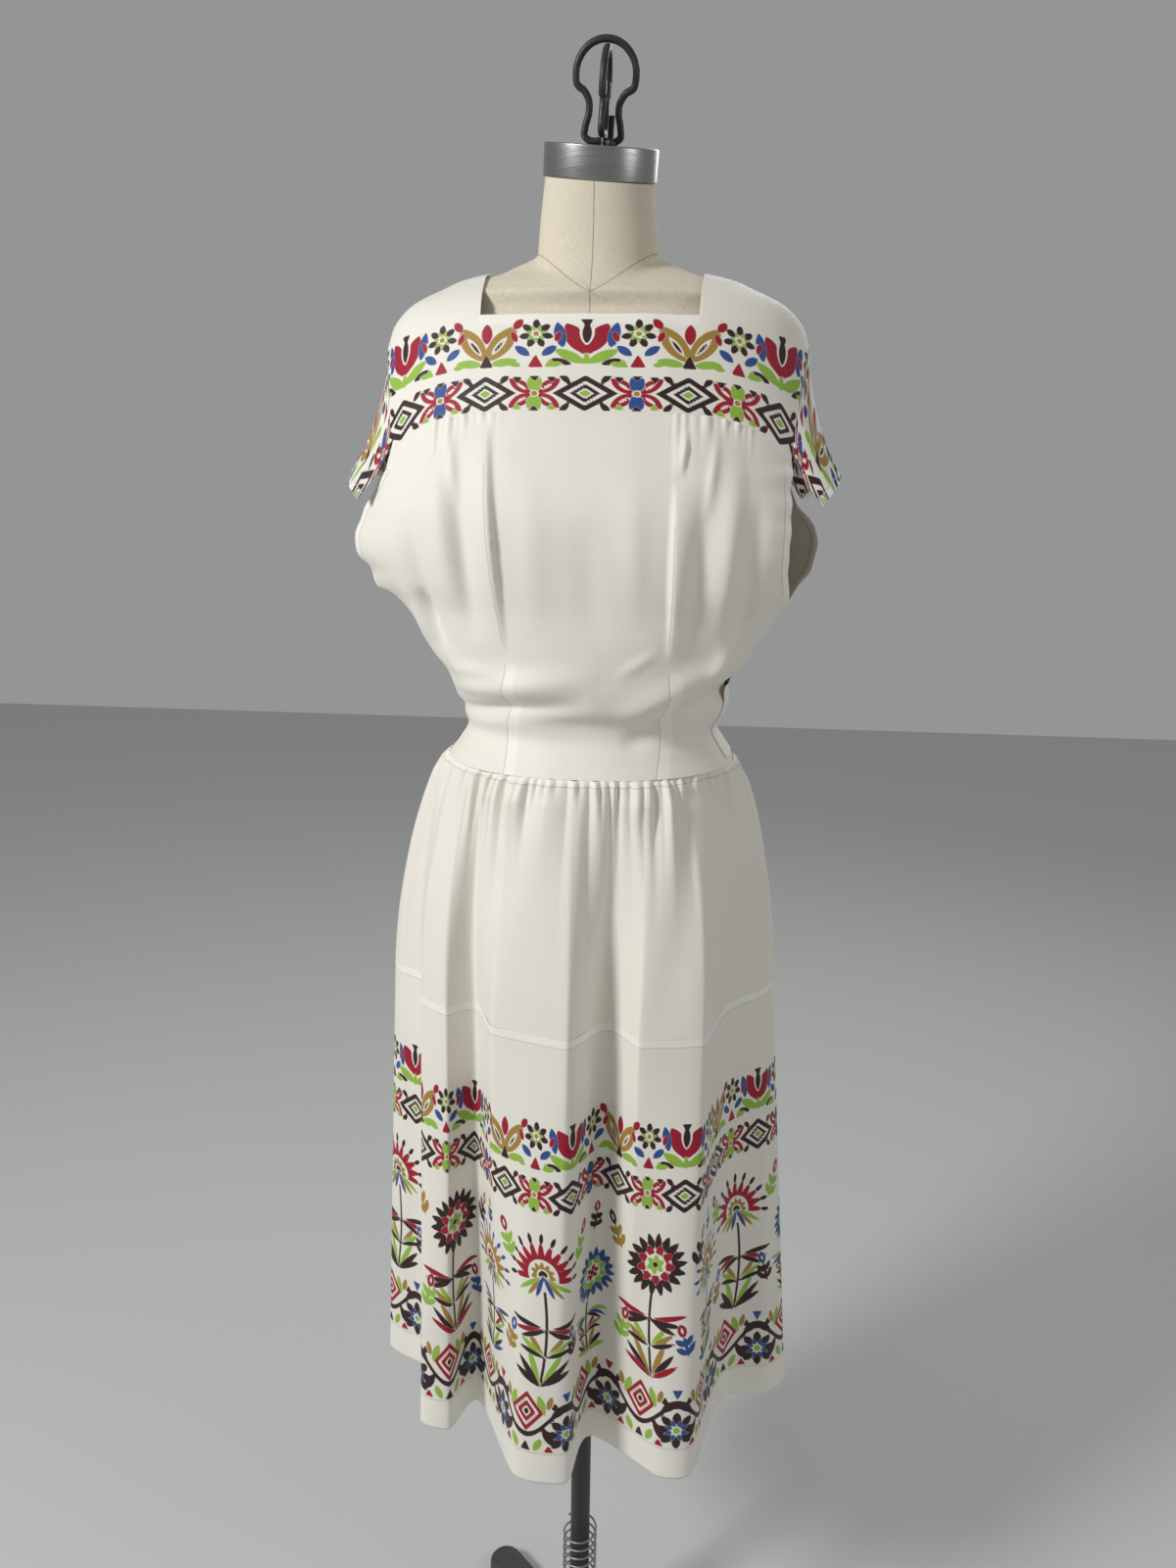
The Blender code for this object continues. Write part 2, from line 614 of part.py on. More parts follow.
def skirt_row(down, front, points):
    """Outline of the upper skirt, down running from 0 at the waist seam to 1 at the tier
    seam. The mean outline swells at once, and the folds grow steadily."""
    waist = seam_ellipse(BODY[0][1], BODY[0][2], BODY[0][3], front, points)
    mean = seam_ellipse(TIER_MEAN[0], TIER_MEAN[1], TIER_MEAN[1], front, points)
    folds = fold_outline(TIER_FOLDS, front, points) - mean
    return waist + (mean - waist) * (1 - (1 - down) ** FLARE_POWER) + folds * down**0.9


def skirt_wall(name, heights, outlines, front, gathers):
    """A skirt panel from its outlines, each a row of points at one height. gathers is the
    depth of the pleating on each row."""
    rows, inner_rows = [], []
    side_gap = (-1 if front else 1) * SEAM_GAP / 2
    for z, outline, depth in zip(heights, outlines, gathers):
        along = np.gradient(outline, axis=0)
        normal = np.stack([along[:, 1], -along[:, 0]], axis=-1) * (1 if front else -1)
        normal[[0, -1]] = ((-1, 0), (1, 0))
        normal /= np.linalg.norm(normal, axis=-1, keepdims=True)
        wave = (np.arange(len(outline)) % 2) * depth
        wave[[0, -1]] = 0
        outline = outline + normal * wave[:, None]
        inner = outline - normal * (CLOTH + 0.4 * wave[:, None])
        for made, flat in ((rows, outline), (inner_rows, inner)):
            flat = flat.copy()
            flat[[0, -1], 1] += side_gap
            made.append(np.column_stack([flat, np.full(len(flat), z)]))
    wall(name, rows, inner_rows, crepe)


UPPER_SHARES = (0.0, 0.12, 0.30, 0.52, 0.76, 1.0)
FINE_ROWS = 3  # rows of the upper skirt that carry the gathers
LOWER_SHARES = (0.0, 0.33, 0.67, 1.0)
FINE_POINTS = 2 * SKIRT_GATHERS + 1
COARSE_POINTS = SKIRT_GATHERS + 1

for front, label in ((True, "front"), (False, "back")):
    top_z, low_z = WAIST_SEAM_Z - SEAM_GAP / 2, TIER_Z + SEAM_GAP / 2
    heights = [top_z + (low_z - top_z) * share for share in UPPER_SHARES]
    outlines = []
    depths = []
    for k, share in enumerate(UPPER_SHARES):
        outlines.append(skirt_row(share, front, FINE_POINTS if k < FINE_ROWS else COARSE_POINTS))
        fallen = share * (top_z - low_z) / SKIRT_GATHER_REACH
        depths.append(SKIRT_GATHER_DEPTH * max(0.0, 1 - 0.75 * fallen) if k < FINE_ROWS else 0.0)
    skirt_wall("skirt_upper_" + label, heights, outlines, front, depths)

    tier = fold_outline(TIER_FOLDS, front, COARSE_POINTS)
    hem = fold_outline(HEM_FOLDS, front, COARSE_POINTS)
    top_z = TIER_Z - SEAM_GAP / 2
    heights = [top_z + (HEM_Z - top_z) * share for share in LOWER_SHARES]
    outlines = [tier + (hem - tier) * share for share in LOWER_SHARES]
    skirt_wall("skirt_lower_" + label, heights, outlines, front, [0.0] * len(LOWER_SHARES))


# The placket strip closes the bodice at one side, laid on the panels' points and moved out.
def make_placket():
    heights = np.array([z for z in BODICE_Z if PLACKET_Z[0] < z < PLACKET_Z[1]] + [PLACKET_Z[0]])
    turns = np.radians(np.linspace(PLACKET_TURN[0], PLACKET_TURN[1], 6))
    grid = np.array([body_ring(z, turns) for z in heights])
    normal = body_normal(grid)
    outer = grid + normal * (2 * SEAM_GAP + PLACKET_THICK)
    grid_wall("side_placket", outer, normal, crepe, thick=PLACKET_THICK)


make_placket()


# The dress form is one smooth padded body with a neck and a flat underside.
def section_reach(turn, half_width, front, back):
    """How far a superellipse reaches from its middle, turn radians round from the front."""
    s, c = np.abs(np.sin(turn)), np.abs(np.cos(turn))
    depth = np.where(np.cos(turn) > 0, front, back)
    return ((s / half_width) ** SECTION_POWER + (c / depth) ** SECTION_POWER) ** (-1 / SECTION_POWER)


def form_rings():
    """Rings of the form from its underside to the top of its neck, as arrays of points. Over
    the shoulders a ring runs round the shoulders or the neck, whichever stands further out."""
    turn = np.linspace(0, 2 * math.pi, FORM_COLUMNS, endpoint=False)
    under = CLOTH + FORM_GAP
    shoulders = list(FORM)
    for z in FORM_SHOULDER_ROWS:
        width, front, back = (float(table_curve(BODY, c, z)) for c in (1, 2, 3))
        shoulders.append((z - under, width - 0.6 * under, front - under, back - under))
    shoulders += FORM_RIDGE
    rings = []
    for z, *size in shoulders:
        reach, tilt = section_reach(turn, *size), 0.0
        if z > FORM[-1][0]:
            neck = [float(table_curve(NECK, c, z)) for c in (1, 2, 3, 4)]
            reach, tilt = np.maximum(reach, section_reach(turn, *neck[:3])), neck[3]
        rings.append((z, reach, tilt))
    for z, width, front, back, tilt in NECK[-NECK_ONLY_ROWS:]:
        rings.append((z, section_reach(turn, width, front, back), tilt))
    made = []
    for z, reach, tilt in rings:
        x, y = reach * np.sin(turn), -reach * np.cos(turn)
        roll = NECK_ROLL * (tilt / NECK_TILT) ** 2
        made.append(np.column_stack([x, y, z + tilt * y - roll * x]))
    return made


def make_form():
    shaped = bmesh.new()
    rings = [[shaped.verts.new(point) for point in ring] for ring in form_rings()]
    for low, high in zip(rings, rings[1:]):
        for k in range(FORM_COLUMNS):
            after = (k + 1) % FORM_COLUMNS
            shaped.faces.new((low[k], low[after], high[after], high[k]))
    shaped.faces.new(rings[0][::-1])
    shaped.faces.new(rings[-1])
    bmesh.ops.triangulate(shaped, faces=shaped.faces[:])
    bmesh.ops.recalc_face_normals(shaped, faces=shaped.faces[:])
    mesh = bpy.data.meshes.new("form_torso")
    shaped.to_mesh(mesh)
    shaped.free()
    add_object("form_torso", mesh, linen)


make_form()


# The neck ends in a steel cap with a handle of two bent wires, all tilted with the neck.
def turned(name, profile, sides, material):
    """A solid of revolution about Z from a list of (radius, z), bottom to top, closed by a
    flat face at each end."""
    shaped = bmesh.new()
    rings = []
    for radius, z in profile:
        ring = []
        for k in range(sides):
            turn = 2 * math.pi * k / sides
            ring.append(shaped.verts.new((radius * math.cos(turn), radius * math.sin(turn), z)))
        rings.append(ring)
    for low, high in zip(rings, rings[1:]):
        for k in range(sides):
            after = (k + 1) % sides
            shaped.faces.new((low[k], low[after], high[after], high[k]))
    shaped.faces.new(rings[0][::-1])
    shaped.faces.new(rings[-1])
    mesh = bpy.data.meshes.new(name)
    shaped.to_mesh(mesh)
    shaped.free()
    mesh.set_sharp_from_angle(angle=math.radians(40))
    return add_object(name, mesh, material)


def tube(name, path, radius, sides, material):
    """A round bar along a path of points, closed at both ends. The section is carried along
    without twisting."""
    path = [Vector(p) for p in path]
    shaped = bmesh.new()
    rings = []
    across = None
    for k, point in enumerate(path):
        ahead = (path[min(k + 1, len(path) - 1)] - path[max(k - 1, 0)]).normalized()
        if across is None:
            across = ahead.orthogonal()
        across = (across - ahead * across.dot(ahead)).normalized()
        other = ahead.cross(across)
        ring = []
        for i in range(sides):
            turn = 2 * math.pi * i / sides
            offset = across * math.cos(turn) + other * math.sin(turn)
            ring.append(shaped.verts.new(point + offset * radius))
        rings.append(ring)
    for low, high in zip(rings, rings[1:]):
        for k in range(sides):
            after = (k + 1) % sides
            shaped.faces.new((low[k], low[after], high[after], high[k]))
    shaped.faces.new(rings[0][::-1])
    shaped.faces.new(rings[-1])
    mesh = bpy.data.meshes.new(name)
    shaped.to_mesh(mesh)
    shaped.free()
    return add_object(name, mesh, material)


def loop_path(foot, height):
    """A keyhole: a bar along its foot, two legs and a round arch. The two ends of the bent
    rod meet in the middle of the bar. Points are (x, z)."""
    arch_z = height - LOOP_HALF_WIDTH
    turns = np.radians(np.linspace(-20, 90, 8))
    arch = [(LOOP_HALF_WIDTH * math.cos(t), arch_z + LOOP_HALF_WIDTH * math.sin(t)) for t in turns]
    half = [(x, z + foot) for x, z in LOOP_LEG] + arch
    return half + [(-x, z) for x, z in reversed(half[:-1])]


neck_frame = bpy.data.objects.new("neck_frame", None)
bpy.context.collection.objects.link(neck_frame)
neck_frame.location = (0, 0, NECK_TOP_Z)
roll = math.atan(NECK_ROLL)
neck_frame.rotation_euler = (math.atan(NECK_TILT * math.cos(roll)), roll, 0)

EDGE = 0.0012
cap_low = SEAM_GAP
cap_top = SEAM_GAP + CAP_HEIGHT
cap = turned(
    "neck_cap",
    [(CAP_RADIUS - EDGE, cap_low), (CAP_RADIUS, cap_low + EDGE),
     (CAP_RADIUS, cap_top - EDGE), (CAP_RADIUS - EDGE, cap_top)],
    40, steel,
)
wire_foot = cap_top + SEAM_GAP
wide_path = [(x, 0, wire_foot + z) for x, z in loop_path(WIRE_RADIUS, LOOP_HEIGHT - WIRE_RADIUS)]
over = 2 * WIRE_RADIUS + SEAM_GAP  # the second loop's bar lies on the first's, and its arch under it
deep_shape = loop_path(WIRE_RADIUS + over, LOOP_HEIGHT - WIRE_RADIUS - over)
deep_path = [(0, x, wire_foot + z) for x, z in deep_shape]
wide = tube("cap_loop_wide", wide_path, WIRE_RADIUS, 8, black_paint)
deep = tube("cap_loop_deep", deep_path, WIRE_RADIUS, 8, black_paint)
bolt = turned(
    "cap_bolt",
    [(BOLT_NUT, wire_foot), (BOLT_NUT, wire_foot + 0.004), (BOLT_RADIUS, wire_foot + 0.0042),
     (BOLT_RADIUS, wire_foot + BOLT_HEIGHT)],
    12, black_paint,
)
bolt.location = (*BOLT_PLACE, 0)
for piece in (cap, wide, deep, bolt):
    piece.parent = neck_frame


# The stand: a three-legged foot of cast iron, a turned hub, the pole and a loose coil spring round it.
def make_base():
    """Outline of three legs with round ends, raised to one thickness with softened edges."""
    outline = []
    step = 2 * math.pi / BASE_LEGS
    for leg in range(BASE_LEGS):
        turn = math.radians(BASE_TURN) + step * leg
        ahead = Vector((math.sin(turn), -math.cos(turn)))
        side = Vector((math.cos(turn), math.sin(turn)))
        reach = BASE_LEG - BASE_LEG_HALF_WIDTH
        for k in range(9):
            angle = math.pi * (k / 8 - 0.5)
            point = ahead * (reach + BASE_LEG_HALF_WIDTH * math.cos(angle))
            outline.append(point + side * BASE_LEG_HALF_WIDTH * math.sin(angle))
        between = Vector((math.sin(turn + step / 2), -math.cos(turn + step / 2)))
        outline.append(between * BASE_LEG_HALF_WIDTH * BASE_CROTCH)
    shaped = bmesh.new()
    low = [shaped.verts.new((p.x, p.y, 0)) for p in outline]
    face = shaped.faces.new(low)
    if face.normal.z > 0:
        face.normal_flip()
    raised = bmesh.ops.extrude_face_region(shaped, geom=[face])
    up = [v for v in raised["geom"] if isinstance(v, bmesh.types.BMVert)]
    bmesh.ops.translate(shaped, verts=up, vec=(0, 0, BASE_THICK))
    bmesh.ops.recalc_face_normals(shaped, faces=shaped.faces[:])
    rim = [e for e in shaped.edges if all(v.co.z > BASE_THICK / 2 for v in e.verts)]
    bmesh.ops.bevel(shaped, geom=rim, offset=0.006, segments=2, affect="EDGES", profile=0.5)
    bmesh.ops.triangulate(shaped, faces=shaped.faces[:])
    mesh = bpy.data.meshes.new("stand_base")
    shaped.to_mesh(mesh)
    shaped.free()
    mesh.set_sharp_from_angle(angle=math.radians(50))
    add_object("stand_base", mesh, cast_iron)


make_base()
hub_low = BASE_THICK + SEAM_GAP
hub_top = hub_low + HUB_HEIGHT
turned(
    "stand_hub",
    [(HUB_RADIUS, hub_low), (HUB_RADIUS, hub_low + 0.012), (0.027, hub_low + 0.024),
     (0.0225, hub_low + 0.045), (0.0225, hub_top - 0.002), (0.0210, hub_top)],
    28, cast_iron,
)
pole_low = hub_top + SEAM_GAP
turned("stand_pole", [(POLE_RADIUS, pole_low), (POLE_RADIUS, FORM[0][0] - SEAM_GAP)], 20, black_paint)

spring_low = pole_low + SPRING_WIRE + SEAM_GAP
spring_high = SPRING_TOP_Z - SPRING_WIRE
turns = (spring_high - spring_low) / SPRING_PITCH
spring_points = int(turns * SPRING_TURN_POINTS) + 1
coil = []
for k in range(spring_points):
    share = k / (spring_points - 1)
    turn = 2 * math.pi * turns * share
    coil.append((SPRING_RADIUS * math.cos(turn), SPRING_RADIUS * math.sin(turn),
                 spring_low + (spring_high - spring_low) * share))
tube("stand_spring", coil, SPRING_WIRE, 6, steel)
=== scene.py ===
"""An ivory crepe drop waist dress with a printed border, on a linen dress form."""

import math

import bpy
import numpy as np
from mathutils import Euler, Matrix, Vector


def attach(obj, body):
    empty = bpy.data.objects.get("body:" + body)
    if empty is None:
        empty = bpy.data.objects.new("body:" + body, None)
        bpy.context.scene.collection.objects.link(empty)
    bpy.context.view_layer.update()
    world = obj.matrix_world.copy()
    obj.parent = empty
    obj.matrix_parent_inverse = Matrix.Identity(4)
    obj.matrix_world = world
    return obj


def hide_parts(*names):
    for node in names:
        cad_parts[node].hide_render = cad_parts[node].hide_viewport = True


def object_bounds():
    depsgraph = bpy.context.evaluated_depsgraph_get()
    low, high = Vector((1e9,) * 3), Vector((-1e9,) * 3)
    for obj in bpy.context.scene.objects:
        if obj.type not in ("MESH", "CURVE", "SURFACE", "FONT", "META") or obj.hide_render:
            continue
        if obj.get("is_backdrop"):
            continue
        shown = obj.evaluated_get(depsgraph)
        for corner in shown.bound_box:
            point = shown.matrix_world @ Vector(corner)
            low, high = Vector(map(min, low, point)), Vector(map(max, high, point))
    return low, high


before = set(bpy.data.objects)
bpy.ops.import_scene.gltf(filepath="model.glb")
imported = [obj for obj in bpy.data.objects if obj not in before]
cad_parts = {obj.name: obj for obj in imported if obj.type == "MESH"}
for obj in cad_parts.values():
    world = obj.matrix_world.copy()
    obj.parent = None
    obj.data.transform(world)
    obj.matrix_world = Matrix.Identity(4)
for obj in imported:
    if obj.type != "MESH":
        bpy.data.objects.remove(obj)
cad_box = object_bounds()

# The camera stands a little to the wearer's left at chest height and looks down. The lens
# is the photo's own, and the picture leans by less than a degree.
CAMERA_AWAY = 1.14
CAMERA_HEIGHT = 1.42
CAMERA_TURN = math.radians(5.0)
CAMERA_AIM = math.radians(0.15)
CAMERA_DOWN = math.radians(14.3)
CAMERA_ROLL = math.radians(0.8)
LENS_PIXELS = 1180
PHOTO_HEIGHT = 1600
SENSOR = 36.0

camera_data = bpy.data.cameras.new("camera")
camera = bpy.data.objects.new("camera", camera_data)
bpy.context.collection.objects.link(camera)
bpy.context.scene.camera = camera
camera_data.sensor_width = SENSOR
camera_data.lens = LENS_PIXELS / PHOTO_HEIGHT * SENSOR
aim = CAMERA_TURN + CAMERA_AIM
level_share = math.cos(CAMERA_DOWN)
ahead = Vector((-math.sin(aim) * level_share, math.cos(aim) * level_share, -math.sin(CAMERA_DOWN)))
across = Vector((math.cos(aim), math.sin(aim), 0))
above = across.cross(ahead)
right = across * math.cos(CAMERA_ROLL) + above * math.sin(CAMERA_ROLL)
upward = above * math.cos(CAMERA_ROLL) - across * math.sin(CAMERA_ROLL)
turned = Matrix((right, upward, -ahead)).transposed()
place = Vector((CAMERA_AWAY * math.sin(CAMERA_TURN), -CAMERA_AWAY * math.cos(CAMERA_TURN), CAMERA_HEIGHT))
camera.matrix_world = Matrix.Translation(place) @ turned.to_4x4()

# A pale studio: a plain floor, a soft key light from above on the left, a weaker one on the
# right and a lamp behind, under an even pale sky.
SKY = (0.66, 0.675, 0.67)
SKY_STRENGTH = 0.45
FLOOR = (0.60, 0.61, 0.60)
FLOOR_HALF_WIDTH = 6
LAMP_AIM = (0, 0, 1.0)
LAMPS = [
    # x, y, z, size, watts
    (-2.0, -1.7, 2.6, 0.7, 66),
    (1.6, -0.75, 1.7, 0.7, 4),
    (0.8, 2.0, 2.6, 1.4, 14),
]
bpy.context.scene.view_settings.view_transform = "Standard"


def solid_material(name, colour, roughness, metallic=0.0):
    """A plain Principled material, and its nodes, to be added to."""
    made = bpy.data.materials.new(name)
    made.use_nodes = True
    shader = made.node_tree.nodes["Principled BSDF"]
    shader.inputs["Base Color"].default_value = (*colour, 1)
    shader.inputs["Roughness"].default_value = roughness
    shader.inputs["Metallic"].default_value = metallic
    return made, made.node_tree, shader


world = bpy.data.worlds.new("sky")
bpy.context.scene.world = world
world.use_nodes = True
background = world.node_tree.nodes["Background"]
background.inputs["Color"].default_value = (*SKY, 1)
background.inputs["Strength"].default_value = SKY_STRENGTH
for x, y, z, size, watts in LAMPS:
    lamp_data = bpy.data.lights.new("lamp", "AREA")
    lamp_data.shape = "DISK"
    lamp_data.size = size
    lamp_data.energy = watts
    lamp = bpy.data.objects.new("lamp", lamp_data)
    bpy.context.collection.objects.link(lamp)
    lamp.location = (x, y, z)
    lamp.rotation_euler = (Vector(LAMP_AIM) - lamp.location).to_track_quat("-Z", "Y").to_euler()
floor_mesh = bpy.data.meshes.new("floor")
corners = [(FLOOR_HALF_WIDTH * x, FLOOR_HALF_WIDTH * y, 0) for x, y in ((-1, -1), (1, -1), (1, 1), (-1, 1))]
floor_mesh.from_pydata(corners, [], [(0, 1, 2, 3)])
floor = bpy.data.objects.new("floor", floor_mesh)
bpy.context.collection.objects.link(floor)
floor_mesh.materials.append(solid_material("floor", FLOOR, 0.7)[0])
floor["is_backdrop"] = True

# Every piece of cloth is made of grids of points, worked out as whole arrays. The print's
# colours are kept on the points as distances to each motif's edge, in millimetres, one
# attribute for each colour, so that the edges stay sharp between the points.
INKS = ("crimson", "maroon", "gold", "green", "blue")
OUTSIDE = -20.0  # millimetres: far outside every motif
WANDER_WAVES = 7
WANDER_GAIN = 1.6


def patch(grid, keep=None, inks=None, uv=None, **fields):
    """A grid of points with rows down and columns to the right as seen from its front, the
    cells to keep, and values for its points. uv is in metres along the cloth."""
    return {"grid": grid, "keep": keep, "uv": uv, "fields": {**(inks or {}), **fields}}


def mirrored(piece):
    """The patch with its columns in the opposite order, which turns its faces round."""
    turned_round = dict(piece)
    for part in ("grid", "keep", "uv"):
        if piece[part] is not None:
            turned_round[part] = piece[part][:, ::-1]
    values = piece["fields"].items()
    turned_round["fields"] = {label: value[:, ::-1] if np.ndim(value) else value for label, value in values}
    return turned_round


def show_piece(name, mesh, material, node):
    """Shows the mesh in the place of a CAD node, with one material."""
    mesh.materials.append(material)
    made = bpy.data.objects.new(name, mesh)
    bpy.context.collection.objects.link(made)
    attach(made, "root")
    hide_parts(node)
    return made


def cloth_object(name, patches, node, material):
    """One mesh of quads from several patches. A value that a patch lacks is far outside the
    motif if it is an ink, and otherwise zero."""
    points, quads, start = [], [], 0
    labels = sorted({label for p in patches for label in p["fields"]})
    values = {label: [] for label in labels}
    flat = []
    for p in patches:
        rows, columns = p["grid"].shape[:2]
        index = start + np.arange(rows * columns).reshape(rows, columns)
        cells = np.stack([index[:-1, :-1], index[1:, :-1], index[1:, 1:], index[:-1, 1:]], axis=-1)
        quads.append(cells.reshape(-1, 4) if p["keep"] is None else cells[p["keep"]])
        points.append(p["grid"].reshape(-1, 3))
        flat.append(np.zeros((rows * columns, 2)) if p["uv"] is None else p["uv"].reshape(-1, 2))
        for label in labels:
            blank = OUTSIDE if label in INKS else 0.0
            given = p["fields"].get(label, blank)
            values[label].append(np.broadcast_to(given, (rows, columns)).ravel())
        start += rows * columns
    points, quads, flat = np.concatenate(points), np.concatenate(quads), np.concatenate(flat)
    used = np.unique(quads)
    renumber = np.zeros(len(points), dtype=np.int64)
    renumber[used] = np.arange(len(used))
    quads = renumber[quads]
    mesh = bpy.data.meshes.new(name)
    mesh.vertices.add(len(used))
    mesh.vertices.foreach_set("co", points[used].ravel())
    mesh.loops.add(quads.size)
    mesh.loops.foreach_set("vertex_index", quads.ravel())
    mesh.polygons.add(len(quads))
    mesh.polygons.foreach_set("loop_start", np.arange(0, quads.size, 4))
    mesh.update(calc_edges=True)
    layer = mesh.uv_layers.new(name="cloth")
    layer.data.foreach_set("uv", flat[used][quads.ravel()].ravel())
    for label in labels:
        made = mesh.attributes.new(label, "FLOAT", "POINT")
        made.data.foreach_set("value", np.concatenate(values[label])[used].astype(np.float32))
    mesh.shade_smooth()
    return show_piece(name, mesh, material, node)


def table_curve(table, column, at):
    """Smooth curve through one column of a table whose first column rises: cubics between the
    rows, with the slope of the rows on either side."""
    rows = np.array([row[: column + 1] for row in table], dtype=float)
    x, y = rows[:, 0], rows[:, column]
    slope = np.gradient(y, x)
    at = np.clip(np.asarray(at, dtype=float), x[0], x[-1])
    k = np.clip(np.searchsorted(x, at) - 1, 0, len(x) - 2)
    h = x[k + 1] - x[k]
    t = (at - x[k]) / h
    rise = (1 + 2 * t) * (1 - t) ** 2 * y[k] + t * (1 - t) ** 2 * h * slope[k]
    return rise + t * t * (3 - 2 * t) * y[k + 1] + t * t * (t - 1) * h * slope[k + 1]


def wander(at, seed, bends):
    """A smooth random line from -1 to 1: a sum of sines with random phases, up to bends
    waves over a span of one."""
    draw = np.random.default_rng(seed)
    total = 0 * at
    for k in range(WANDER_WAVES):
        waves = bends * (k + 1) / WANDER_WAVES
        total = total + np.sin(2 * math.pi * (waves * at + draw.random())) * draw.uniform(0.5, 1)
    return total / WANDER_WAVES * WANDER_GAIN


# The crepe is a fine ivory rayon with a pebbled face and a soft sheen. It is a little
# lighter where it lies double, at hems and seams, and the print is flat on its face.
IVORY = (0.80, 0.765, 0.69)
IVORY_DOUBLE = (0.87, 0.84, 0.775)
INK_COLOURS = {
    "crimson": (0.335, 0.0035, 0.022),
    "maroon": (0.030, 0.008, 0.010),
    "gold": (0.36, 0.215, 0.038),
    "green": (0.28, 0.47, 0.052),
    "blue": (0.022, 0.075, 0.265),
}
INK_EDGE_MM = 0.35
SEAM_ZERO = 100.0  # the seam attribute holds this much more than the millimetres to a stitch line


def add_noise(tree, coordinates, scale, detail):
    """A noise texture on the given coordinates."""
    noise = tree.nodes.new("ShaderNodeTexNoise")
    noise.inputs["Scale"].default_value = scale
    noise.inputs["Detail"].default_value = detail
    tree.links.new(coordinates, noise.inputs["Vector"])
    return noise.outputs["Fac"]


def map_range(tree, value, low, high, to_low, to_high):
    """Maps value from one range to another, held inside it."""
    node = tree.nodes.new("ShaderNodeMapRange")
    for socket, number in zip(("From Min", "From Max", "To Min", "To Max"), (low, high, to_low, to_high)):
        node.inputs[socket].default_value = number
    tree.links.new(value, node.inputs["Value"])
    return node.outputs["Result"]


def mix_colours(tree, share, first, second):
    """Mixes two colours, each a socket or three numbers."""
    node = tree.nodes.new("ShaderNodeMix")
    node.data_type = "RGBA"
    tree.links.new(share, node.inputs["Factor"])
    for socket, colour in ((node.inputs["A"], first), (node.inputs["B"], second)):
        if isinstance(colour, tuple):
            socket.default_value = (*colour, 1)
        else:
            tree.links.new(colour, socket)
    return node.outputs["Result"]


def add_maths(tree, operation, *values):
    """A maths node. Its inputs are sockets or numbers, in the node's own order."""
    node = tree.nodes.new("ShaderNodeMath")
    node.operation = operation
    for socket, value in zip(node.inputs, values):
        if isinstance(value, float):
            socket.default_value = value
        else:
            tree.links.new(value, socket)
    return node.outputs["Value"]


def add_bump(tree, shader, height, strength, depth):
    """Roughens the shader's face: a height of one stands for depth metres."""
    bump = tree.nodes.new("ShaderNodeBump")
    bump.inputs["Strength"].default_value = strength
    bump.inputs["Distance"].default_value = depth
    tree.links.new(height, bump.inputs["Height"])
    tree.links.new(bump.outputs["Normal"], shader.inputs["Normal"])


def attribute(tree, name):
    """A value kept on the mesh's points."""
    node = tree.nodes.new("ShaderNodeAttribute")
    node.attribute_name = name
    return node.outputs["Fac"]


def seam_groove(tree, half_width):
    """0 on the seam lines and 1 beyond half_width millimetres from them."""
    line = add_maths(tree, "SUBTRACT", attribute(tree, "seam"), SEAM_ZERO)
    return map_range(tree, add_maths(tree, "ABSOLUTE", line), 0.0, half_width, 0.0, 1.0)


def crepe(name, printed):
    """Ivory crepe, printed where its attributes say. Fine pebbles and longer slubs stand up
    from its face, and a stitch line sinks in as a bump, its colour darkened with painted shade."""
    made, tree, shader = solid_material(name, IVORY, 0.6)
    spot = tree.nodes.new("ShaderNodeTexCoord").outputs["Object"]
    cloud = map_range(tree, add_noise(tree, spot, 9.0, 3.0), 0.3, 0.7, 0.0, 1.0)
    warm = mix_colours(tree, cloud, tuple(0.975 * c for c in IVORY), tuple(min(1.0, 1.02 * c) for c in IVORY))
    colour = mix_colours(tree, attribute(tree, "double"), warm, IVORY_DOUBLE)
    if printed:
        for ink in INKS:
            share = map_range(tree, attribute(tree, ink), -INK_EDGE_MM, INK_EDGE_MM, 0.0, 1.0)
            colour = mix_colours(tree, share, colour, INK_COLOURS[ink])
    # Stitch lines and tuck edges sink in as a real bump, and their colour is darkened to 0.7 of the ivory as
    # painted shade.
    groove = seam_groove(tree, 0.75)
    colour_with_painted_seam_shade = mix_colours(tree, groove, tuple(0.70 * c for c in IVORY), colour)
    tree.links.new(colour_with_painted_seam_shade, shader.inputs["Base Color"])
    pebbles = add_noise(tree, spot, 1400.0, 1.0)
    slubs = add_noise(tree, spot, 260.0, 3.0)
    tree.links.new(map_range(tree, slubs, 0.25, 0.75, 0.52, 0.66), shader.inputs["Roughness"])
    height = add_maths(tree, "MULTIPLY_ADD", slubs, 0.8, pebbles)
    height = add_maths(tree, "MULTIPLY_ADD", groove, 1.6, height)
    add_bump(tree, shader, height, 0.4, 0.0004)
    shader.inputs["Specular IOR Level"].default_value = 0.35
    shader.inputs["Sheen Weight"].default_value = 0.12
    shader.inputs["Sheen Roughness"].default_value = 0.4
    return made


plain_crepe = crepe("ivory_crepe", False)
printed_crepe = crepe("printed_crepe", True)

# The print is a folk border in common motifs: tulips, rosettes, leaf sprays, lozenges and a
# vine. Motifs are drawn in millimetres on the flat cloth, each as a signed distance that is
# positive inside the motif.
REPEAT = 175.0
TOP_BAND = (2.0, 54.0)
LOW_BAND = (62.0, 98.5)
PLANT_ZONE = (108.0, 300.0)
PLANT_SHIFT = 30  # along the cloth, so that no plant stands in the middle of the front
FOOT_BAND = (301.0, 373.0)


def disc(x, y, cx, cy, radius):
    """Round spot: its radius less the distance from its middle."""
    return radius - np.hypot(x - cx, y - cy)


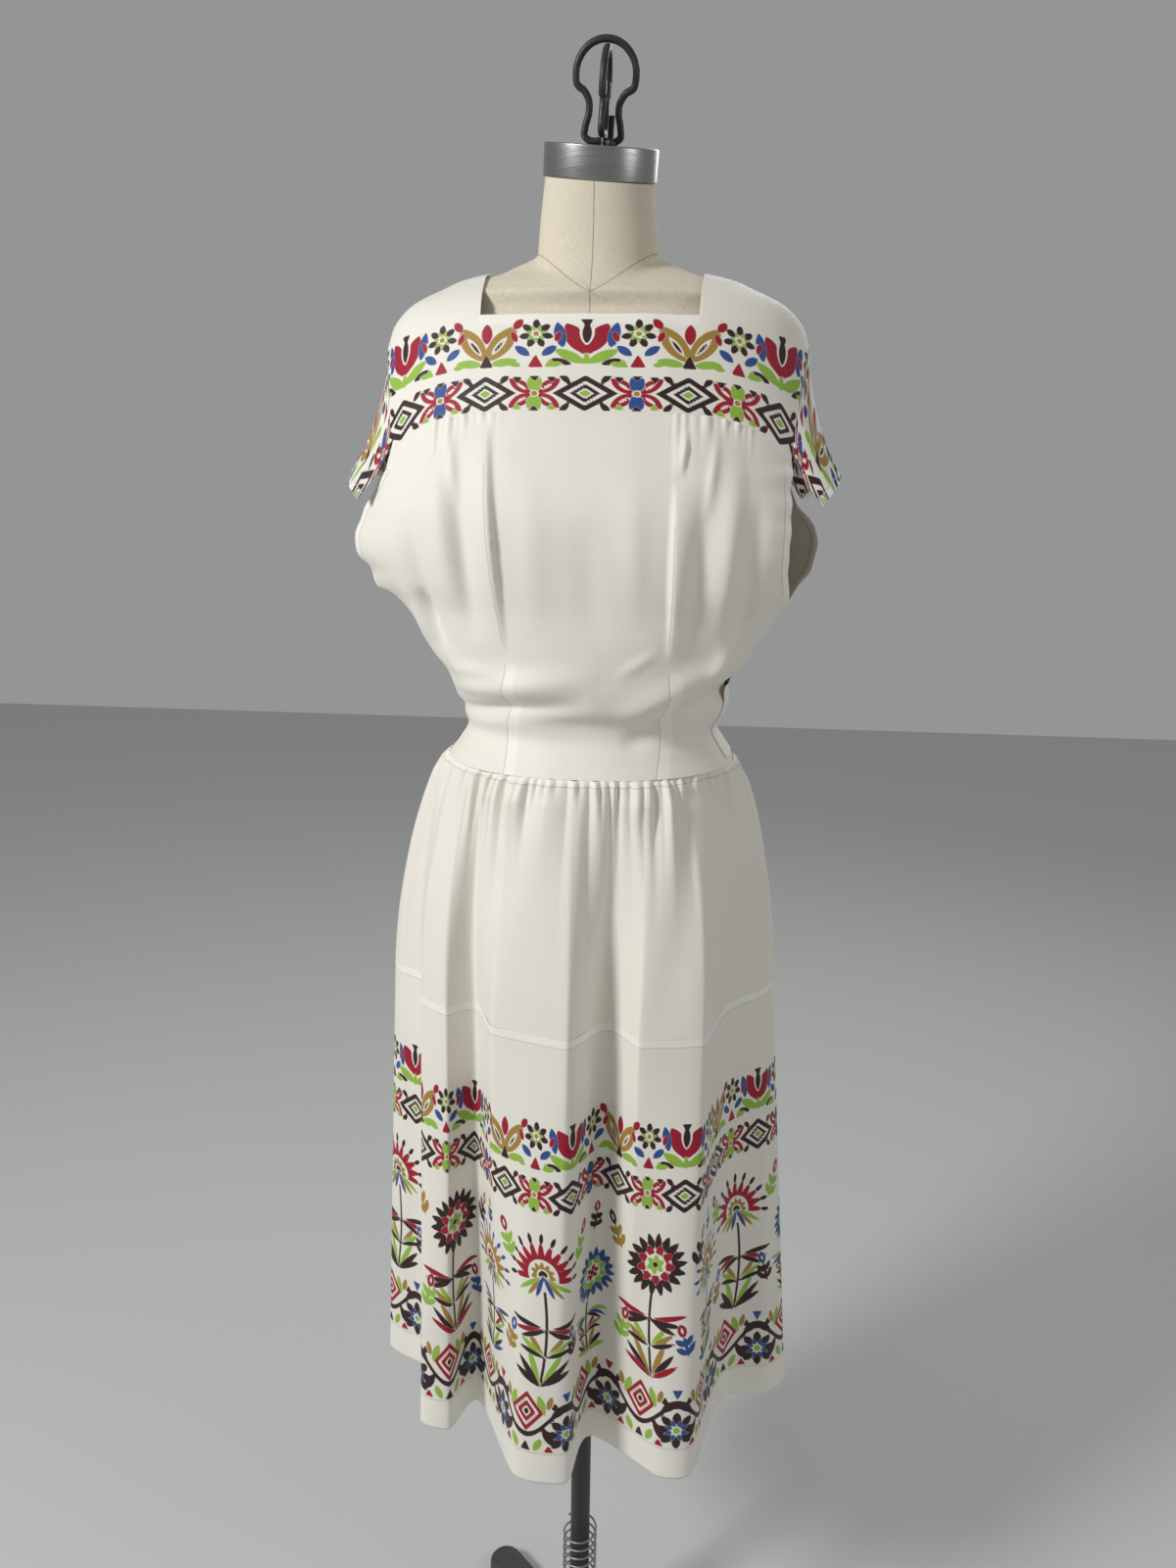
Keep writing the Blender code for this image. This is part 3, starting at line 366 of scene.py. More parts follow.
def petal(x, y, cx, cy, turn, length, width):
    """Pointed petal between two arcs, from its root at cx, cy, turn degrees from upright."""
    s, c = math.sin(math.radians(turn)), math.cos(math.radians(turn))
    along = (x - cx) * s + (y - cy) * c - length / 2
    side = (x - cx) * c - (y - cy) * s
    bow = (length**2 - width**2) / (4 * width)
    return bow + width / 2 - np.hypot(along, np.abs(side) + bow)


def lozenge(x, y, cx, cy, half_width, half_height):
    """Diamond: one less the shares of its two half axes, scaled to a distance."""
    share = 1 - np.abs(x - cx) / half_width - np.abs(y - cy) / half_height
    return share * half_width * half_height / math.hypot(half_width, half_height)


def triangle(x, y, cx, base_y, half_width, height):
    """Triangle on a level base, pointing down if height is negative."""
    rise = (y - base_y) * (1 if height > 0 else -1)
    tall = abs(height)
    slope = (half_width * (1 - rise / tall) - np.abs(x - cx)) * tall / math.hypot(half_width, tall)
    return np.minimum(rise, slope)


def rays(x, y, cx, cy, count, root, length, width, turn=0.0):
    """A ring of petals round a middle: one petal, with the angle folded into its sector."""
    far = np.hypot(x - cx, y - cy)
    step = 2 * math.pi / count
    angle = np.arctan2(x - cx, y - cy) - math.radians(turn)
    angle = (angle / step + 0.5) % 1.0 * step - step / 2
    return petal(far * np.sin(angle), far * np.cos(angle), 0, root, 0, length, width)


class Cloth:
    """Flat cloth being printed: one field of distances for each ink. A later motif covers an
    earlier one."""

    def __init__(self, size):
        self.fields = {ink: np.full(size, OUTSIDE) for ink in INKS}

    def ink(self, colour, shape):
        """Prints a shape: it is joined to its own colour and cut out of the others."""
        for name in INKS:
            if name == colour:
                self.fields[name] = np.maximum(self.fields[name], shape)
            else:
                self.fields[name] = np.minimum(self.fields[name], -shape)

    def clear(self, shape):
        """Leaves the cloth bare inside a shape."""
        for name in INKS:
            self.fields[name] = np.minimum(self.fields[name], -shape)


def tulip(cloth, x, y, cx, cy, size):
    """A crimson tulip with a dark heart, on a short stem between two leaves."""
    for turn in (62, -62):
        cloth.ink("green", petal(x, y, cx, cy, turn, 0.62 * size, 0.2 * size))
    top = cy + 0.2 * size
    for turn in (30, -30):
        cloth.ink("crimson", petal(x, y, cx, top, turn, 0.72 * size, 0.34 * size))
    cloth.ink("crimson", disc(x, y, cx, top + 0.13 * size, 0.15 * size))
    cloth.clear(petal(x, y, cx, top + 0.16 * size, 0, 0.56 * size, 0.25 * size))
    cloth.ink("maroon", petal(x, y, cx, top + 0.19 * size, 0, 0.46 * size, 0.16 * size))
    cloth.ink("green", petal(x, y, cx, cy - 0.05 * size, 0, 0.3 * size, 0.09 * size))


def rosette(cloth, x, y, cx, cy, radius, outer, inner, heart, count):
    """Two rings of petals round a middle."""
    cloth.ink(outer, rays(x, y, cx, cy, count, 0.3 * radius, 0.7 * radius, 0.42 * radius))
    cloth.ink(inner, rays(x, y, cx, cy, count, 0.14 * radius, 0.5 * radius, 0.2 * radius, 180 / count))
    cloth.clear(disc(x, y, cx, cy, 0.24 * radius))
    cloth.ink(heart, disc(x, y, cx, cy, 0.17 * radius))


def sprig(cloth, x, y, cx, cy, turn, length, leaf, bud):
    """A stem with paired leaves and a bud at its tip."""
    s, c = math.sin(math.radians(turn)), math.cos(math.radians(turn))
    cloth.ink(leaf, petal(x, y, cx, cy, turn, 0.8 * length, 0.09 * length))
    for share, size in ((0.14, 0.38), (0.4, 0.34)):
        for lean in (46, -46):
            root = (cx + s * share * length, cy + c * share * length)
            cloth.ink(leaf, petal(x, y, *root, turn + lean, size * length, 0.16 * length))
    tip = (cx + s * 0.64 * length, cy + c * 0.64 * length)
    cloth.ink(bud, petal(x, y, *tip, turn, 0.4 * length, 0.24 * length))
    middle = (cx + s * 0.74 * length, cy + c * 0.74 * length)
    cloth.clear(petal(x, y, *middle, turn, 0.2 * length, 0.07 * length))


def top_band(cloth, x, y):
    """Tulips and gold sprays by turns, with florets between them, standing on a row of small
    triangles. y runs up from the band's foot."""
    tall = TOP_BAND[1] - TOP_BAND[0]
    tile = (x + REPEAT / 4) % REPEAT - REPEAT / 4
    tulip(cloth, tile, y, 0, 5, 0.98 * tall)
    for hand in (-1, 1):
        cloth.ink("blue", petal(tile, y, hand * 20, 21, hand * 12, 28, 10.5))
        cloth.ink("maroon", petal(tile, y, hand * 12, 4, hand * 74, 20, 6.5))
        cloth.ink("green", triangle(tile, y, hand * 31, 1, 5, 10))
    cloth.ink("maroon", triangle(tile, y, 0, 51, 6, -9))
    far = x % REPEAT - REPEAT / 2
    for hand in (-1, 1):
        cloth.ink("gold", petal(far, y, 0, 7, hand * 35, 46, 19))
        cloth.clear(petal(far, y, hand * 4, 13, hand * 35, 26, 6))
        cloth.ink("maroon", petal(far, y, hand * 5.5, 15, hand * 35, 19, 3))
        cloth.ink("crimson", petal(far, y, hand * 24, 41, hand * 35, 13, 8))
        cloth.ink("green", petal(far, y, hand * 3, 4, hand * 80, 26, 8.5))
    cloth.ink("crimson", petal(far, y, 0, 25, 0, 22, 10))
    cloth.ink("maroon", triangle(far, y, 0, 1, 6.5, 15))
    near = (x + REPEAT / 2) % (REPEAT / 2) - REPEAT / 4
    rosette(cloth, near, y, 0, 36, 15.5, "maroon", "green", "gold", 7)
    cloth.ink("crimson", triangle(near, y, 0, 1, 7, 14))
    for hand in (-1, 1):
        cloth.ink("blue", petal(near, y, hand * 5, 13, hand * 52, 17, 8))
        cloth.ink("crimson", petal(near, y, hand * 17, 27, hand * 20, 13, 6))
        cloth.ink("green", petal(near, y, hand * 12, 3, hand * 80, 12, 5.5))


def low_band(cloth, x, y):
    """Dark lozenges and crossed crimson leaves by turns, between two rows of triangles."""
    tall = LOW_BAND[1] - LOW_BAND[0]
    step = REPEAT / 2
    tile = (x + step / 2) % step - step / 2
    middle = tall / 2
    cloth.ink("maroon", lozenge(tile, y, 0, middle, 28, 0.52 * tall))
    cloth.clear(lozenge(tile, y, 0, middle, 19, 0.36 * tall))
    cloth.ink("maroon", lozenge(tile, y, 0, middle, 13, 0.27 * tall))
    cloth.clear(lozenge(tile, y, 0, middle, 7.5, 0.16 * tall))
    cloth.ink("green", lozenge(tile, y, 0, middle, 5.2, 0.11 * tall))
    for hand in (-1, 1):
        for up in (-1, 1):
            root = (hand * 13, middle + up * 10)
            cloth.ink("maroon", petal(tile, y, *root, hand * (90 - up * 50), 14, 6))
    far = x % step - step / 2
    other = np.floor(x / step) % 2 > 0
    for hand in (-1, 1):
        for lean in (54, 126):
            cloth.ink("crimson", petal(far, y, hand * 1.5, middle, hand * lean, 26, 11.5))
            cloth.clear(petal(far, y, hand * 6, middle + (3.2 if lean < 90 else -3.2), hand * lean, 13, 3.0))
        for lean in (16, 164):
            leaf = petal(far, y, 0, middle, hand * lean, 18, 7.5)
            cloth.ink("green", np.where(other, leaf, OUTSIDE))
            cloth.ink("blue", np.where(other, OUTSIDE, leaf))
        cloth.ink("green", triangle(far, y, hand * 15, 1, 5, 7))
        cloth.ink("maroon", triangle(far, y, hand * 15, tall - 1, 5, -7))
    cloth.clear(disc(far, y, 0, middle, 3.8))
    cloth.ink("gold", disc(far, y, 0, middle, 2.8))
    cloth.ink("maroon", triangle(far, y, 0, 0, 5, 6))
    cloth.ink("maroon", triangle(far, y, 0, tall, 5, -6))


def foot_band(cloth, x, y):
    """A dark vine that winds along the border as a cosine, with a rosette under each crest
    and a lozenge over each dip."""
    tall = FOOT_BAND[1] - FOOT_BAND[0]
    step = REPEAT / 2
    wave = 2 * math.pi / step
    swing = 0.22 * tall
    line = 0.5 * tall + swing * np.cos(x * wave)
    slope = swing * wave * np.sin(x * wave)
    cloth.ink("maroon", (3.2 - np.abs(y - line)) / np.hypot(1, slope))
    tile = (x + step / 2) % step - step / 2
    other = (np.floor((x + step / 2) / step) % 2) > 0
    for hand in (-1, 1):
        cloth.ink("maroon", petal(tile, y, hand * 17, 0.60 * tall, -hand * 50, 24, 9.5))
        cloth.ink("maroon", petal(tile, y, hand * 26, 0.42 * tall, 180 + hand * 30, 25, 9.5))
        cloth.ink("green", petal(tile, y, hand * 24, 0.62 * tall, hand * 16, 25, 9))
        cloth.ink("maroon", triangle(tile, y, hand * 13, 0.74 * tall, 4.5, 9))
    rosette(cloth, tile, y, 0, 0.31 * tall, 0.31 * tall, "maroon", "blue", "green", 8)
    far = x % step - step / 2
    cloth.ink("crimson", lozenge(far, y, 0, 0.66 * tall, 19, 24))
    cloth.clear(lozenge(far, y, 0, 0.66 * tall, 14, 17.5))
    cloth.ink("crimson", lozenge(far, y, 0, 0.66 * tall, 10.5, 13))
    cloth.clear(lozenge(far, y, 0, 0.66 * tall, 5.5, 7))
    cloth.ink("maroon", lozenge(far, y, 0, 0.66 * tall, 3.6, 4.6))
    for hand in (-1, 1):
        cloth.ink("green", petal(far, y, hand * 9, 1, hand * 26, 18, 8))
        cloth.ink("crimson", triangle(tile, y, hand * 19, 1, 5.5, 9))
        cloth.ink("gold", petal(far, y, hand * 23, 0.72 * tall, hand * 14, 18, 6.5))
    cloth.ink("maroon", triangle(far, y, 0, 1, 5.5, 12))
    top = triangle(tile, y, 0, tall - 1, 6, -12)
    cloth.ink("crimson", np.where(other, top, OUTSIDE))
    cloth.ink("blue", np.where(other, OUTSIDE, top))


FAN_SPREAD = 100.0  # degrees to either side of upright
FAN_PETALS = 11
HEART_PETALS = 7


def palmette(cloth, x, y, cx, cy, radius, outer, inner, heart):
    """A fan of narrow petals about (cx, cy) with a short inner fan and a round heart."""
    for k in range(FAN_PETALS):
        turn = FAN_SPREAD * (2 * k / (FAN_PETALS - 1) - 1)
        cloth.ink(outer, petal(x, y, cx, cy, turn, radius, 0.17 * radius))
        s, c = math.sin(math.radians(turn)), math.cos(math.radians(turn))
        root = (cx + 0.80 * radius * s, cy + 0.80 * radius * c)
        cloth.ink(inner, petal(x, y, *root, turn, 0.34 * radius, 0.12 * radius))
    cloth.clear(disc(x, y, cx, cy, 0.42 * radius))
    for share in np.linspace(-1, 1, HEART_PETALS):
        cloth.ink(heart, petal(x, y, cx, cy, FAN_SPREAD * share, 0.38 * radius, 0.13 * radius))
    cloth.clear(disc(x, y, cx, cy, 0.17 * radius))
    cloth.ink("maroon", disc(x, y, cx, cy, 0.13 * radius))


def plume(cloth, x, y, cx, cy, turn, length, inks):
    """A spray of long petals from one root, each turned a little further and shorter."""
    for k, ink in enumerate(inks):
        share = 1 - 0.13 * k
        bent = turn + math.copysign(17 * k, turn)
        cloth.ink(ink, petal(x, y, cx, cy, bent, length * share, 0.13 * length))


PLANTS = [
    # x, foot_y, height, radius, outer_ink, inner_ink, heart_ink, leaf_ink, lean, fan
    (0, 6, 128, 41, "crimson", "maroon", "gold", "green", 6, True),
    (88, 4, 98, 31, "blue", "green", "crimson", "gold", -7, False),
    (174, 6, 134, 37, "maroon", "crimson", "green", "gold", -5, False),
    (262, 5, 108, 38, "gold", "blue", "crimson", "green", 7, True),
]
SCATTER = [
    # x, y, turn, length, leaf_ink, bud_ink
    (45, 136, 28, 46, "green", "crimson"),
    (44, 34, -14, 40, "maroon", "blue"),
    (131, 142, -30, 44, "gold", "maroon"),
    (130, 34, 12, 44, "green", "crimson"),
    (220, 136, 24, 46, "maroon", "gold"),
    (217, 34, -16, 42, "blue", "crimson"),
    (308, 138, -26, 46, "green", "crimson"),
    (306, 32, 14, 44, "gold", "blue"),
    (88, 152, 4, 34, "maroon", "crimson"),
    (262, 156, -6, 30, "blue", "gold"),
]


def plant_zone(cloth, x, y):
    """Tall plants of four kinds in a row, in flower or with a fan of leaves, with plumes at
    their stems and loose sprigs between them."""
    x = x + PLANT_SHIFT
    wide = 2 * REPEAT
    for px, foot, height, radius, outer, inner, heart, leaf, lean, fan in PLANTS:
        tile = (x - px + wide / 2) % wide - wide / 2
        bent = tile - lean * np.sin(np.clip((y - foot) / height, 0, 1.2) * math.pi)
        stem = np.minimum(1.6 - np.abs(bent), np.minimum(y - foot, foot + height - y))
        cloth.ink("maroon", stem)
        for hand in (-1, 1):
            plume(cloth, bent, y, 0, foot, hand * 24, 0.40 * height, (leaf, "maroon", inner))
            plume(cloth, bent, y, 0, foot + 0.27 * height, hand * 38, 0.34 * height, (heart, leaf, "maroon"))
            plume(cloth, bent, y, 0, foot + 0.52 * height, hand * 78, 0.36 * height, (inner, outer, "maroon"))
        top = foot + height
        cloth.clear(disc(bent, y, 0, top, (0.40 if fan else 0.80) * radius))
        if fan:
            palmette(cloth, bent, y, 0, top, radius, outer, inner, heart)
            for hand in (-1, 1):
                plume(cloth, bent, y, 0, top, hand * 124, 0.95 * radius, ("green", "gold", "blue"))
        else:
            cloth.ink(outer, rays(bent, y, 0, top, 18, 0.36 * radius, 0.64 * radius, 0.22 * radius))
            cloth.ink(inner, rays(bent, y, 0, top, 9, 0.24 * radius, 0.4 * radius, 0.24 * radius, 10))
            cloth.clear(disc(bent, y, 0, top, 0.34 * radius))
            cloth.ink(heart, rays(bent, y, 0, top, 6, 0.06 * radius, 0.26 * radius, 0.16 * radius))
            cloth.ink("maroon", disc(bent, y, 0, top, 0.09 * radius))
    tile = x % wide
    for px, py, turn, length, leaf, bud in SCATTER:
        near = (tile - px + wide / 2) % wide - wide / 2
        sprig(cloth, near, y, 0, py, turn, length, leaf, bud)


YOKE_PRINT = ((top_band, TOP_BAND), (low_band, LOW_BAND))
SKIRT_PRINT = (*YOKE_PRINT, (plant_zone, PLANT_ZONE), (foot_band, FOOT_BAND))


def printed(bands, along, down):
    """The fields of the bands, each cut off at its own edges by taking the smaller distance.
    along and down are in millimetres on the flat cloth, down counted from the print's top."""
    cloth = Cloth(along.shape)
    for band, (start, end) in bands:
        part = Cloth(along.shape)
        band(part, along, end - down)
        inside = np.minimum(down - start, end - down)
        for ink in INKS:
            cloth.fields[ink] = np.maximum(cloth.fields[ink], np.minimum(part.fields[ink], inside))
    return cloth.fields


# The skirt springs from the drop waist seam in fine gathers that run together into a few
# big flutes. It has two tiers, felled together, and a deep hem turned up inside.
WAIST_SEAM_Z = 1.165
TIER_Z = 0.9255
HEM_Z = 0.430
WAIST = (0.1415, 0.128, 0.112)  # half width, and depth to the front and the back
TIER_MEAN = (0.186, 0.137)
FLARE_POWER = 2.3
TIER_FOLDS = [
    # ridge_start_x, ridge_start_y, ridge_end_x, ridge_end_y, valley_x, valley_y
    (-0.210, 0.008, -0.198, -0.012, -0.172, -0.030),
    (-0.160, -0.084, -0.130, -0.108, -0.104, -0.091),
    (-0.078, -0.142, -0.004, -0.164, 0.030, -0.121),
    (0.062, -0.154, 0.122, -0.142, 0.146, -0.066),
    (0.184, -0.022, 0.194, 0.008, 0.164, 0.062),
    (0.146, 0.104, 0.122, 0.122, 0.096, 0.106),
    (0.066, 0.142, 0.034, 0.150, 0.002, 0.120),
    (-0.030, 0.146, -0.062, 0.142, -0.094, 0.108),
    (-0.124, 0.124, -0.148, 0.106, -0.176, 0.056),
]
HEM_FOLDS = [
    # ridge_start_x, ridge_start_y, ridge_end_x, ridge_end_y, valley_x, valley_y
    (-0.231, 0.012, -0.214, -0.006, -0.177, -0.030),
    (-0.168, -0.102, -0.134, -0.110, -0.110, -0.067),
    (-0.056, -0.162, 0.000, -0.166, 0.018, -0.103),
    (0.092, -0.148, 0.128, -0.140, 0.160, -0.036),
    (0.214, -0.018, 0.233, 0.012, 0.178, 0.066),
    (0.164, 0.114, 0.138, 0.134, 0.108, 0.098),
    (0.076, 0.158, 0.040, 0.168, 0.004, 0.112),
    (-0.034, 0.162, -0.070, 0.158, -0.102, 0.100),
    (-0.138, 0.140, -0.166, 0.118, -0.186, 0.058),
]
SIDE_KNOTS = (0, 13)
SKIRT_COLUMNS = 380
UPPER_ROWS = 100
LOWER_ROWS = 190
GATHERS = 46  # in each half
FOLDS_BELOW = 15  # soft folds that the gathers run into, in each half
GATHER_DEPTH = 0.0050
FOLD_DEPTH = 0.0094
HEM_TURN = 0.036
HEM_INSET = 0.0012
FELL = 0.009
GATHER_STITCH = 0.006
# How roundly the cloth turns at a ridge's start and end and in a valley. The folds are
# crisper at the tier seam than at the hem.
TIER_BEND = (0.15, 0.15, 0.40)
HEM_BEND = (0.30, 0.30, 0.48)
PRINT_START = 0.085  # from the tier seam down to the print


def run_length(line):
    """Length along a line of points, from its start to each of them."""
    return np.concatenate([[0], np.cumsum(np.linalg.norm(np.diff(line, axis=0), axis=1))])


def unit(vectors):
    """The vectors at length one."""
    return vectors / np.maximum(np.linalg.norm(vectors, axis=-1, keepdims=True), 1e-12)


def evenly(curve, points):
    """Points evenly spaced along a flat curve."""
    length = run_length(curve)
    at = np.linspace(0, length[-1], points)
    return np.stack([np.interp(at, length, curve[:, k]) for k in (0, 1)], axis=-1)


def fold_outline(folds, bends, front, points):
    """Half of the closed curve round every ridge and through every valley, from the -X side
    seam to the +X side seam. front picks the half that faces -Y. Between two knots it is a
    cubic, whose slope at each end is the knot's bend times the step to the knot beyond."""
    knots = np.array(folds, dtype=float).reshape(-1, 2)
    first, second = SIDE_KNOTS
    order = np.arange(first, second + 1) if front else np.arange(second, len(knots) + first + 1)
    t = np.linspace(0, 1, 60, endpoint=False)[:, None]
    curve = []
    for k in order[:-1]:
        before, a, b, after = (knots[(k + d) % len(knots)] for d in (-1, 0, 1, 2))
        bend_in, bend_out = bends[k % 3] * (b - before), bends[(k + 1) % 3] * (after - a)
        piece = (1 + 2 * t) * (1 - t) ** 2 * a + t * (1 - t) ** 2 * bend_in
        curve.append(piece + t * t * (3 - 2 * t) * b + t * t * (t - 1) * bend_out)
    curve.append(knots[order[-1] % len(knots)][None])
    outline = evenly(np.concatenate(curve), points)
    return outline if front else outline[::-1]


def half_ellipse(half_width, depth, points):
    """Half of an ellipse from -X to +X, towards -Y if depth is positive."""
    turn = np.linspace(-math.pi / 2, math.pi / 2, 1441)
    return evenly(np.stack([half_width * np.sin(turn), -depth * np.cos(turn)], axis=-1), points)


def flat_normals(grid):
    """Unit normals of a skirt's grid, level and pointing out."""
    along = np.gradient(grid[..., :2], axis=1)
    return unit(np.stack([along[..., 1], -along[..., 0], 0 * along[..., 0]], axis=-1))


def gather_height(share, fall, seed):
    """How far gathering lifts the cloth at a share of the way round and a fall in metres
    below the seam. Each fine gather is a rounded ridge between sharp valleys and dies out at
    its own length. The soft folds below them lean a little, grow and then fade. A fold's own
    reach and strength come from sines of its number, which vary like random draws."""
    lean = 0.006 * wander(share, seed + 7, 13) * np.clip(fall / 0.06, 0, 1.5)
    phase = GATHERS * (share + lean + 0.013 * wander(share, seed, 11))
    ridge = 1 - np.abs(2 * (phase % 1.0) - 1) ** 1.5
    own = np.floor(phase)
    reach = 0.034 + 0.026 * np.sin(own * 12.9898 + seed)
    strong = 0.85 + 0.45 * np.sin(own * 78.233 + seed)
    pressed = 0.45 + 0.55 * np.clip(fall / GATHER_STITCH, 0, 1)
    fine = GATHER_DEPTH * strong * ridge * pressed * np.exp(-((fall / reach) ** 1.5))
    lean = 0.012 * wander(share, seed + 4, 5) * fall / 0.1
    phase = FOLDS_BELOW * (share + lean + 0.024 * wander(share, seed + 3, 7))
    ridge = 1 - np.abs(2 * (phase % 1.0) - 1) ** 1.35
    own = np.floor(phase)
    reach = 0.100 + 0.062 * np.sin(own * 39.346 + seed)
    strong = 0.70 + 0.42 * np.sin(own * 11.135 + seed)
    grown = np.clip(fall / 0.022, 0, 1) ** 0.7
    return fine + FOLD_DEPTH * strong * ridge * grown * np.exp(-((fall / reach) ** 2.2))


for front, label in ((True, "front"), (False, "back")):
    seed = 40 if front else 70
    share = np.linspace(0, 1, SKIRT_COLUMNS)[None, :]
    down = np.linspace(0, 1, UPPER_ROWS)[:, None] ** 1.25
    drop = WAIST_SEAM_Z - TIER_Z
    waist = half_ellipse(WAIST[0], WAIST[1] if front else -WAIST[2], SKIRT_COLUMNS)
    mean = half_ellipse(TIER_MEAN[0], TIER_MEAN[1] if front else -TIER_MEAN[1], SKIRT_COLUMNS)
    tier = fold_outline(TIER_FOLDS, TIER_BEND, front, SKIRT_COLUMNS)
    swell = (1 - (1 - down) ** FLARE_POWER)[..., None]
    flat = waist + (mean - waist) * swell + (tier - mean) * (down**0.75)[..., None]
    height = WAIST_SEAM_Z - drop * down + 0 * share
    grid = np.concatenate([flat, height[..., None]], axis=-1)
    normal = flat_normals(grid) * (1 if front else -1)
    calm = np.sin(math.pi * np.clip(share, 0, 1)) ** 0.15
    lift = gather_height(share, drop * down, seed) * calm
    ease = 0.0016 * wander(share + 0.06 * down, seed + 9, 14) * np.sin(math.pi * down) ** 0.8 * calm
    grid = grid + normal * (lift + ease)[..., None]
    if not front:
        grid = grid[:, ::-1]
    width = float(np.linalg.norm(np.diff(tier, axis=0), axis=1).sum())
    double = np.clip((0.0045 - drop * down) / 0.0015, 0, 1) * 0.7 + 0 * share
    stitch = SEAM_ZERO + 1000 * (drop * down - GATHER_STITCH) + 0.5 * wander(share, seed + 12, 60)
    upper = cloth_object("skirt_upper_" + label + "_cloth", [patch(grid, double=double, seam=stitch)],
                         "skirt_upper_" + label, plain_crepe)

    hem = fold_outline(HEM_FOLDS, HEM_BEND, front, SKIRT_COLUMNS)
    down = np.linspace(0, 1, LOWER_ROWS)[:, None]
    drop = TIER_Z - HEM_Z
    flat = tier + (hem - tier) * down[..., None]
    height = TIER_Z - drop * down + 0 * share
    grid = np.concatenate([flat, height[..., None]], axis=-1)
    normal = flat_normals(grid) * (1 if front else -1)
    ease = 0.0022 * wander(share + 0.05 * down, seed + 11, 8)
    ease = ease * np.sin(math.pi * np.clip(0.1 + 0.9 * down, 0, 1)) * calm
    grid = grid + normal * ease[..., None]
    turned_rows = int(HEM_TURN / drop * (LOWER_ROWS - 1))
    inner = (grid - normal * HEM_INSET)[::-1][:turned_rows]
    fall = np.concatenate([down * drop, (down * drop)[::-1][:turned_rows]])
    whole = np.concatenate([grid, inner])
    width = float(np.linalg.norm(np.diff(hem, axis=0), axis=1).sum())
    along = 1000 * width * (share - 0.5) + 0 * fall
    inks = printed(SKIRT_PRINT, along, 1000 * (fall - PRINT_START) + 0 * along)
    for ink in INKS:
        inks[ink][LOWER_ROWS:] = OUTSIDE
    double = np.clip((FELL - fall) / 0.0008, 0, 1) + np.clip((fall - (drop - HEM_TURN)) / 0.0008, 0, 1) * 0.55
    stitch = np.where(fall < 0.2, fall - FELL, drop - HEM_TURN - fall)
    stitch = SEAM_ZERO + 1000 * stitch + 0 * along
    piece = patch(whole, inks=inks, double=double, seam=stitch)
    lower = cloth_object("skirt_lower_" + label + "_cloth", [piece if front else mirrored(piece)],
                         "skirt_lower_" + label, printed_crepe)

# The body of the dress is a yoke over the shoulders with a square neckline and a bodice hung
# from it, which stands away at the deep armholes and pouches over the fitted waist.
SECTION_POWER = 2.2  # 2 is an ellipse, more is squarer
BODY = [
    # z, half_width, front, back
    (1.1650, 0.1415, 0.128, 0.112),
    (1.1800, 0.1310, 0.119, 0.102),
    (1.1974, 0.1225, 0.113, 0.096),
    (1.2100, 0.1290, 0.118, 0.100),
    (1.2220, 0.1330, 0.126, 0.104),
    (1.2400, 0.1340, 0.132, 0.108),
    (1.2600, 0.1500, 0.134, 0.110),
    (1.2850, 0.1650, 0.136, 0.112),
    (1.3130, 0.1860, 0.137, 0.114),
    (1.3400, 0.2180, 0.140, 0.117),
    (1.3650, 0.2340, 0.142, 0.119),
    (1.3950, 0.2330, 0.142, 0.119),
    (1.4450, 0.2160, 0.130, 0.116),
    (1.4830, 0.2070, 0.117, 0.110),
    (1.5200, 0.1990, 0.107, 0.101),
    (1.5480, 0.1940, 0.100, 0.092),
    (1.5670, 0.1860, 0.094, 0.084),
    (1.5820, 0.1700, 0.084, 0.074),
    (1.5950, 0.1430, 0.070, 0.062),
    (1.6020, 0.1270, 0.060, 0.054),
    (1.6090, 0.0980, 0.048, 0.044),
]
ARM_TOP_Z = 1.548
ARM_TOP_X = 0.194
YOKE_END_X = 0.178
YOKE_SEAM_Z = 1.483
YOKE_SEAM_FALL = 0.034
NECK_X = 0.094
NECK_TOP_X = 0.0985
NECK_FRONT_Z = 1.564
NECK_BACK_Z = 1.588
PRINT_TOP_Z = 1.5615
PRINT_TALL = 100.0  # millimetres of the print from its top to the yoke seam
PRINT_LEVEL_Z = 1.525  # where the print is measured along the cloth
PRINT_END_X = 0.198
STRAP_COLUMNS = 44
NECK_COLUMNS = 86
STRAP_ROWS = 34
YOKE_ROWS = 48
EDGE_INSET = 0.0011
FACING = 0.009
YOKE_SEAM = 0.008  # width of the seam allowance under the yoke's foot


def body_depth(x, z, side):
    """How far the body stands from the shoulder line at x and z: to the front if side is
    -1, to the back if it is +1. The section is a superellipse."""
    width = table_curve(BODY, 1, z)
    depth = table_curve(BODY, 2 if side < 0 else 3, z)
    share = np.clip(np.abs(x) / width, 0, 1)
    return side * depth * (1 - share**SECTION_POWER) ** (1 / SECTION_POWER)


def body_size(z, front):
    """The body's half width at height z, and its depth on the side that front picks."""
    return table_curve(BODY, 1, z), np.where(front, table_curve(BODY, 2, z), table_curve(BODY, 3, z))


def body_normal(points):
    """Unit normals, pointing out, of the body's superellipse sections at points on it. Both
    the section's own slope and its growth with height are counted."""
    x, y, z = (points[..., k] for k in range(3))
    step = 0.0005
    front = y < 0
    parts, rise = [], 0
    for offset, size, grown in zip((x, y), body_size(z, front), body_size(z + step, front)):
        share = np.abs(offset) / size
        parts.append(np.sign(offset) * share ** (SECTION_POWER - 1) / size)
        rise = rise - share**SECTION_POWER / size * (grown - size) / step
    return unit(np.stack([*parts, rise], axis=-1))


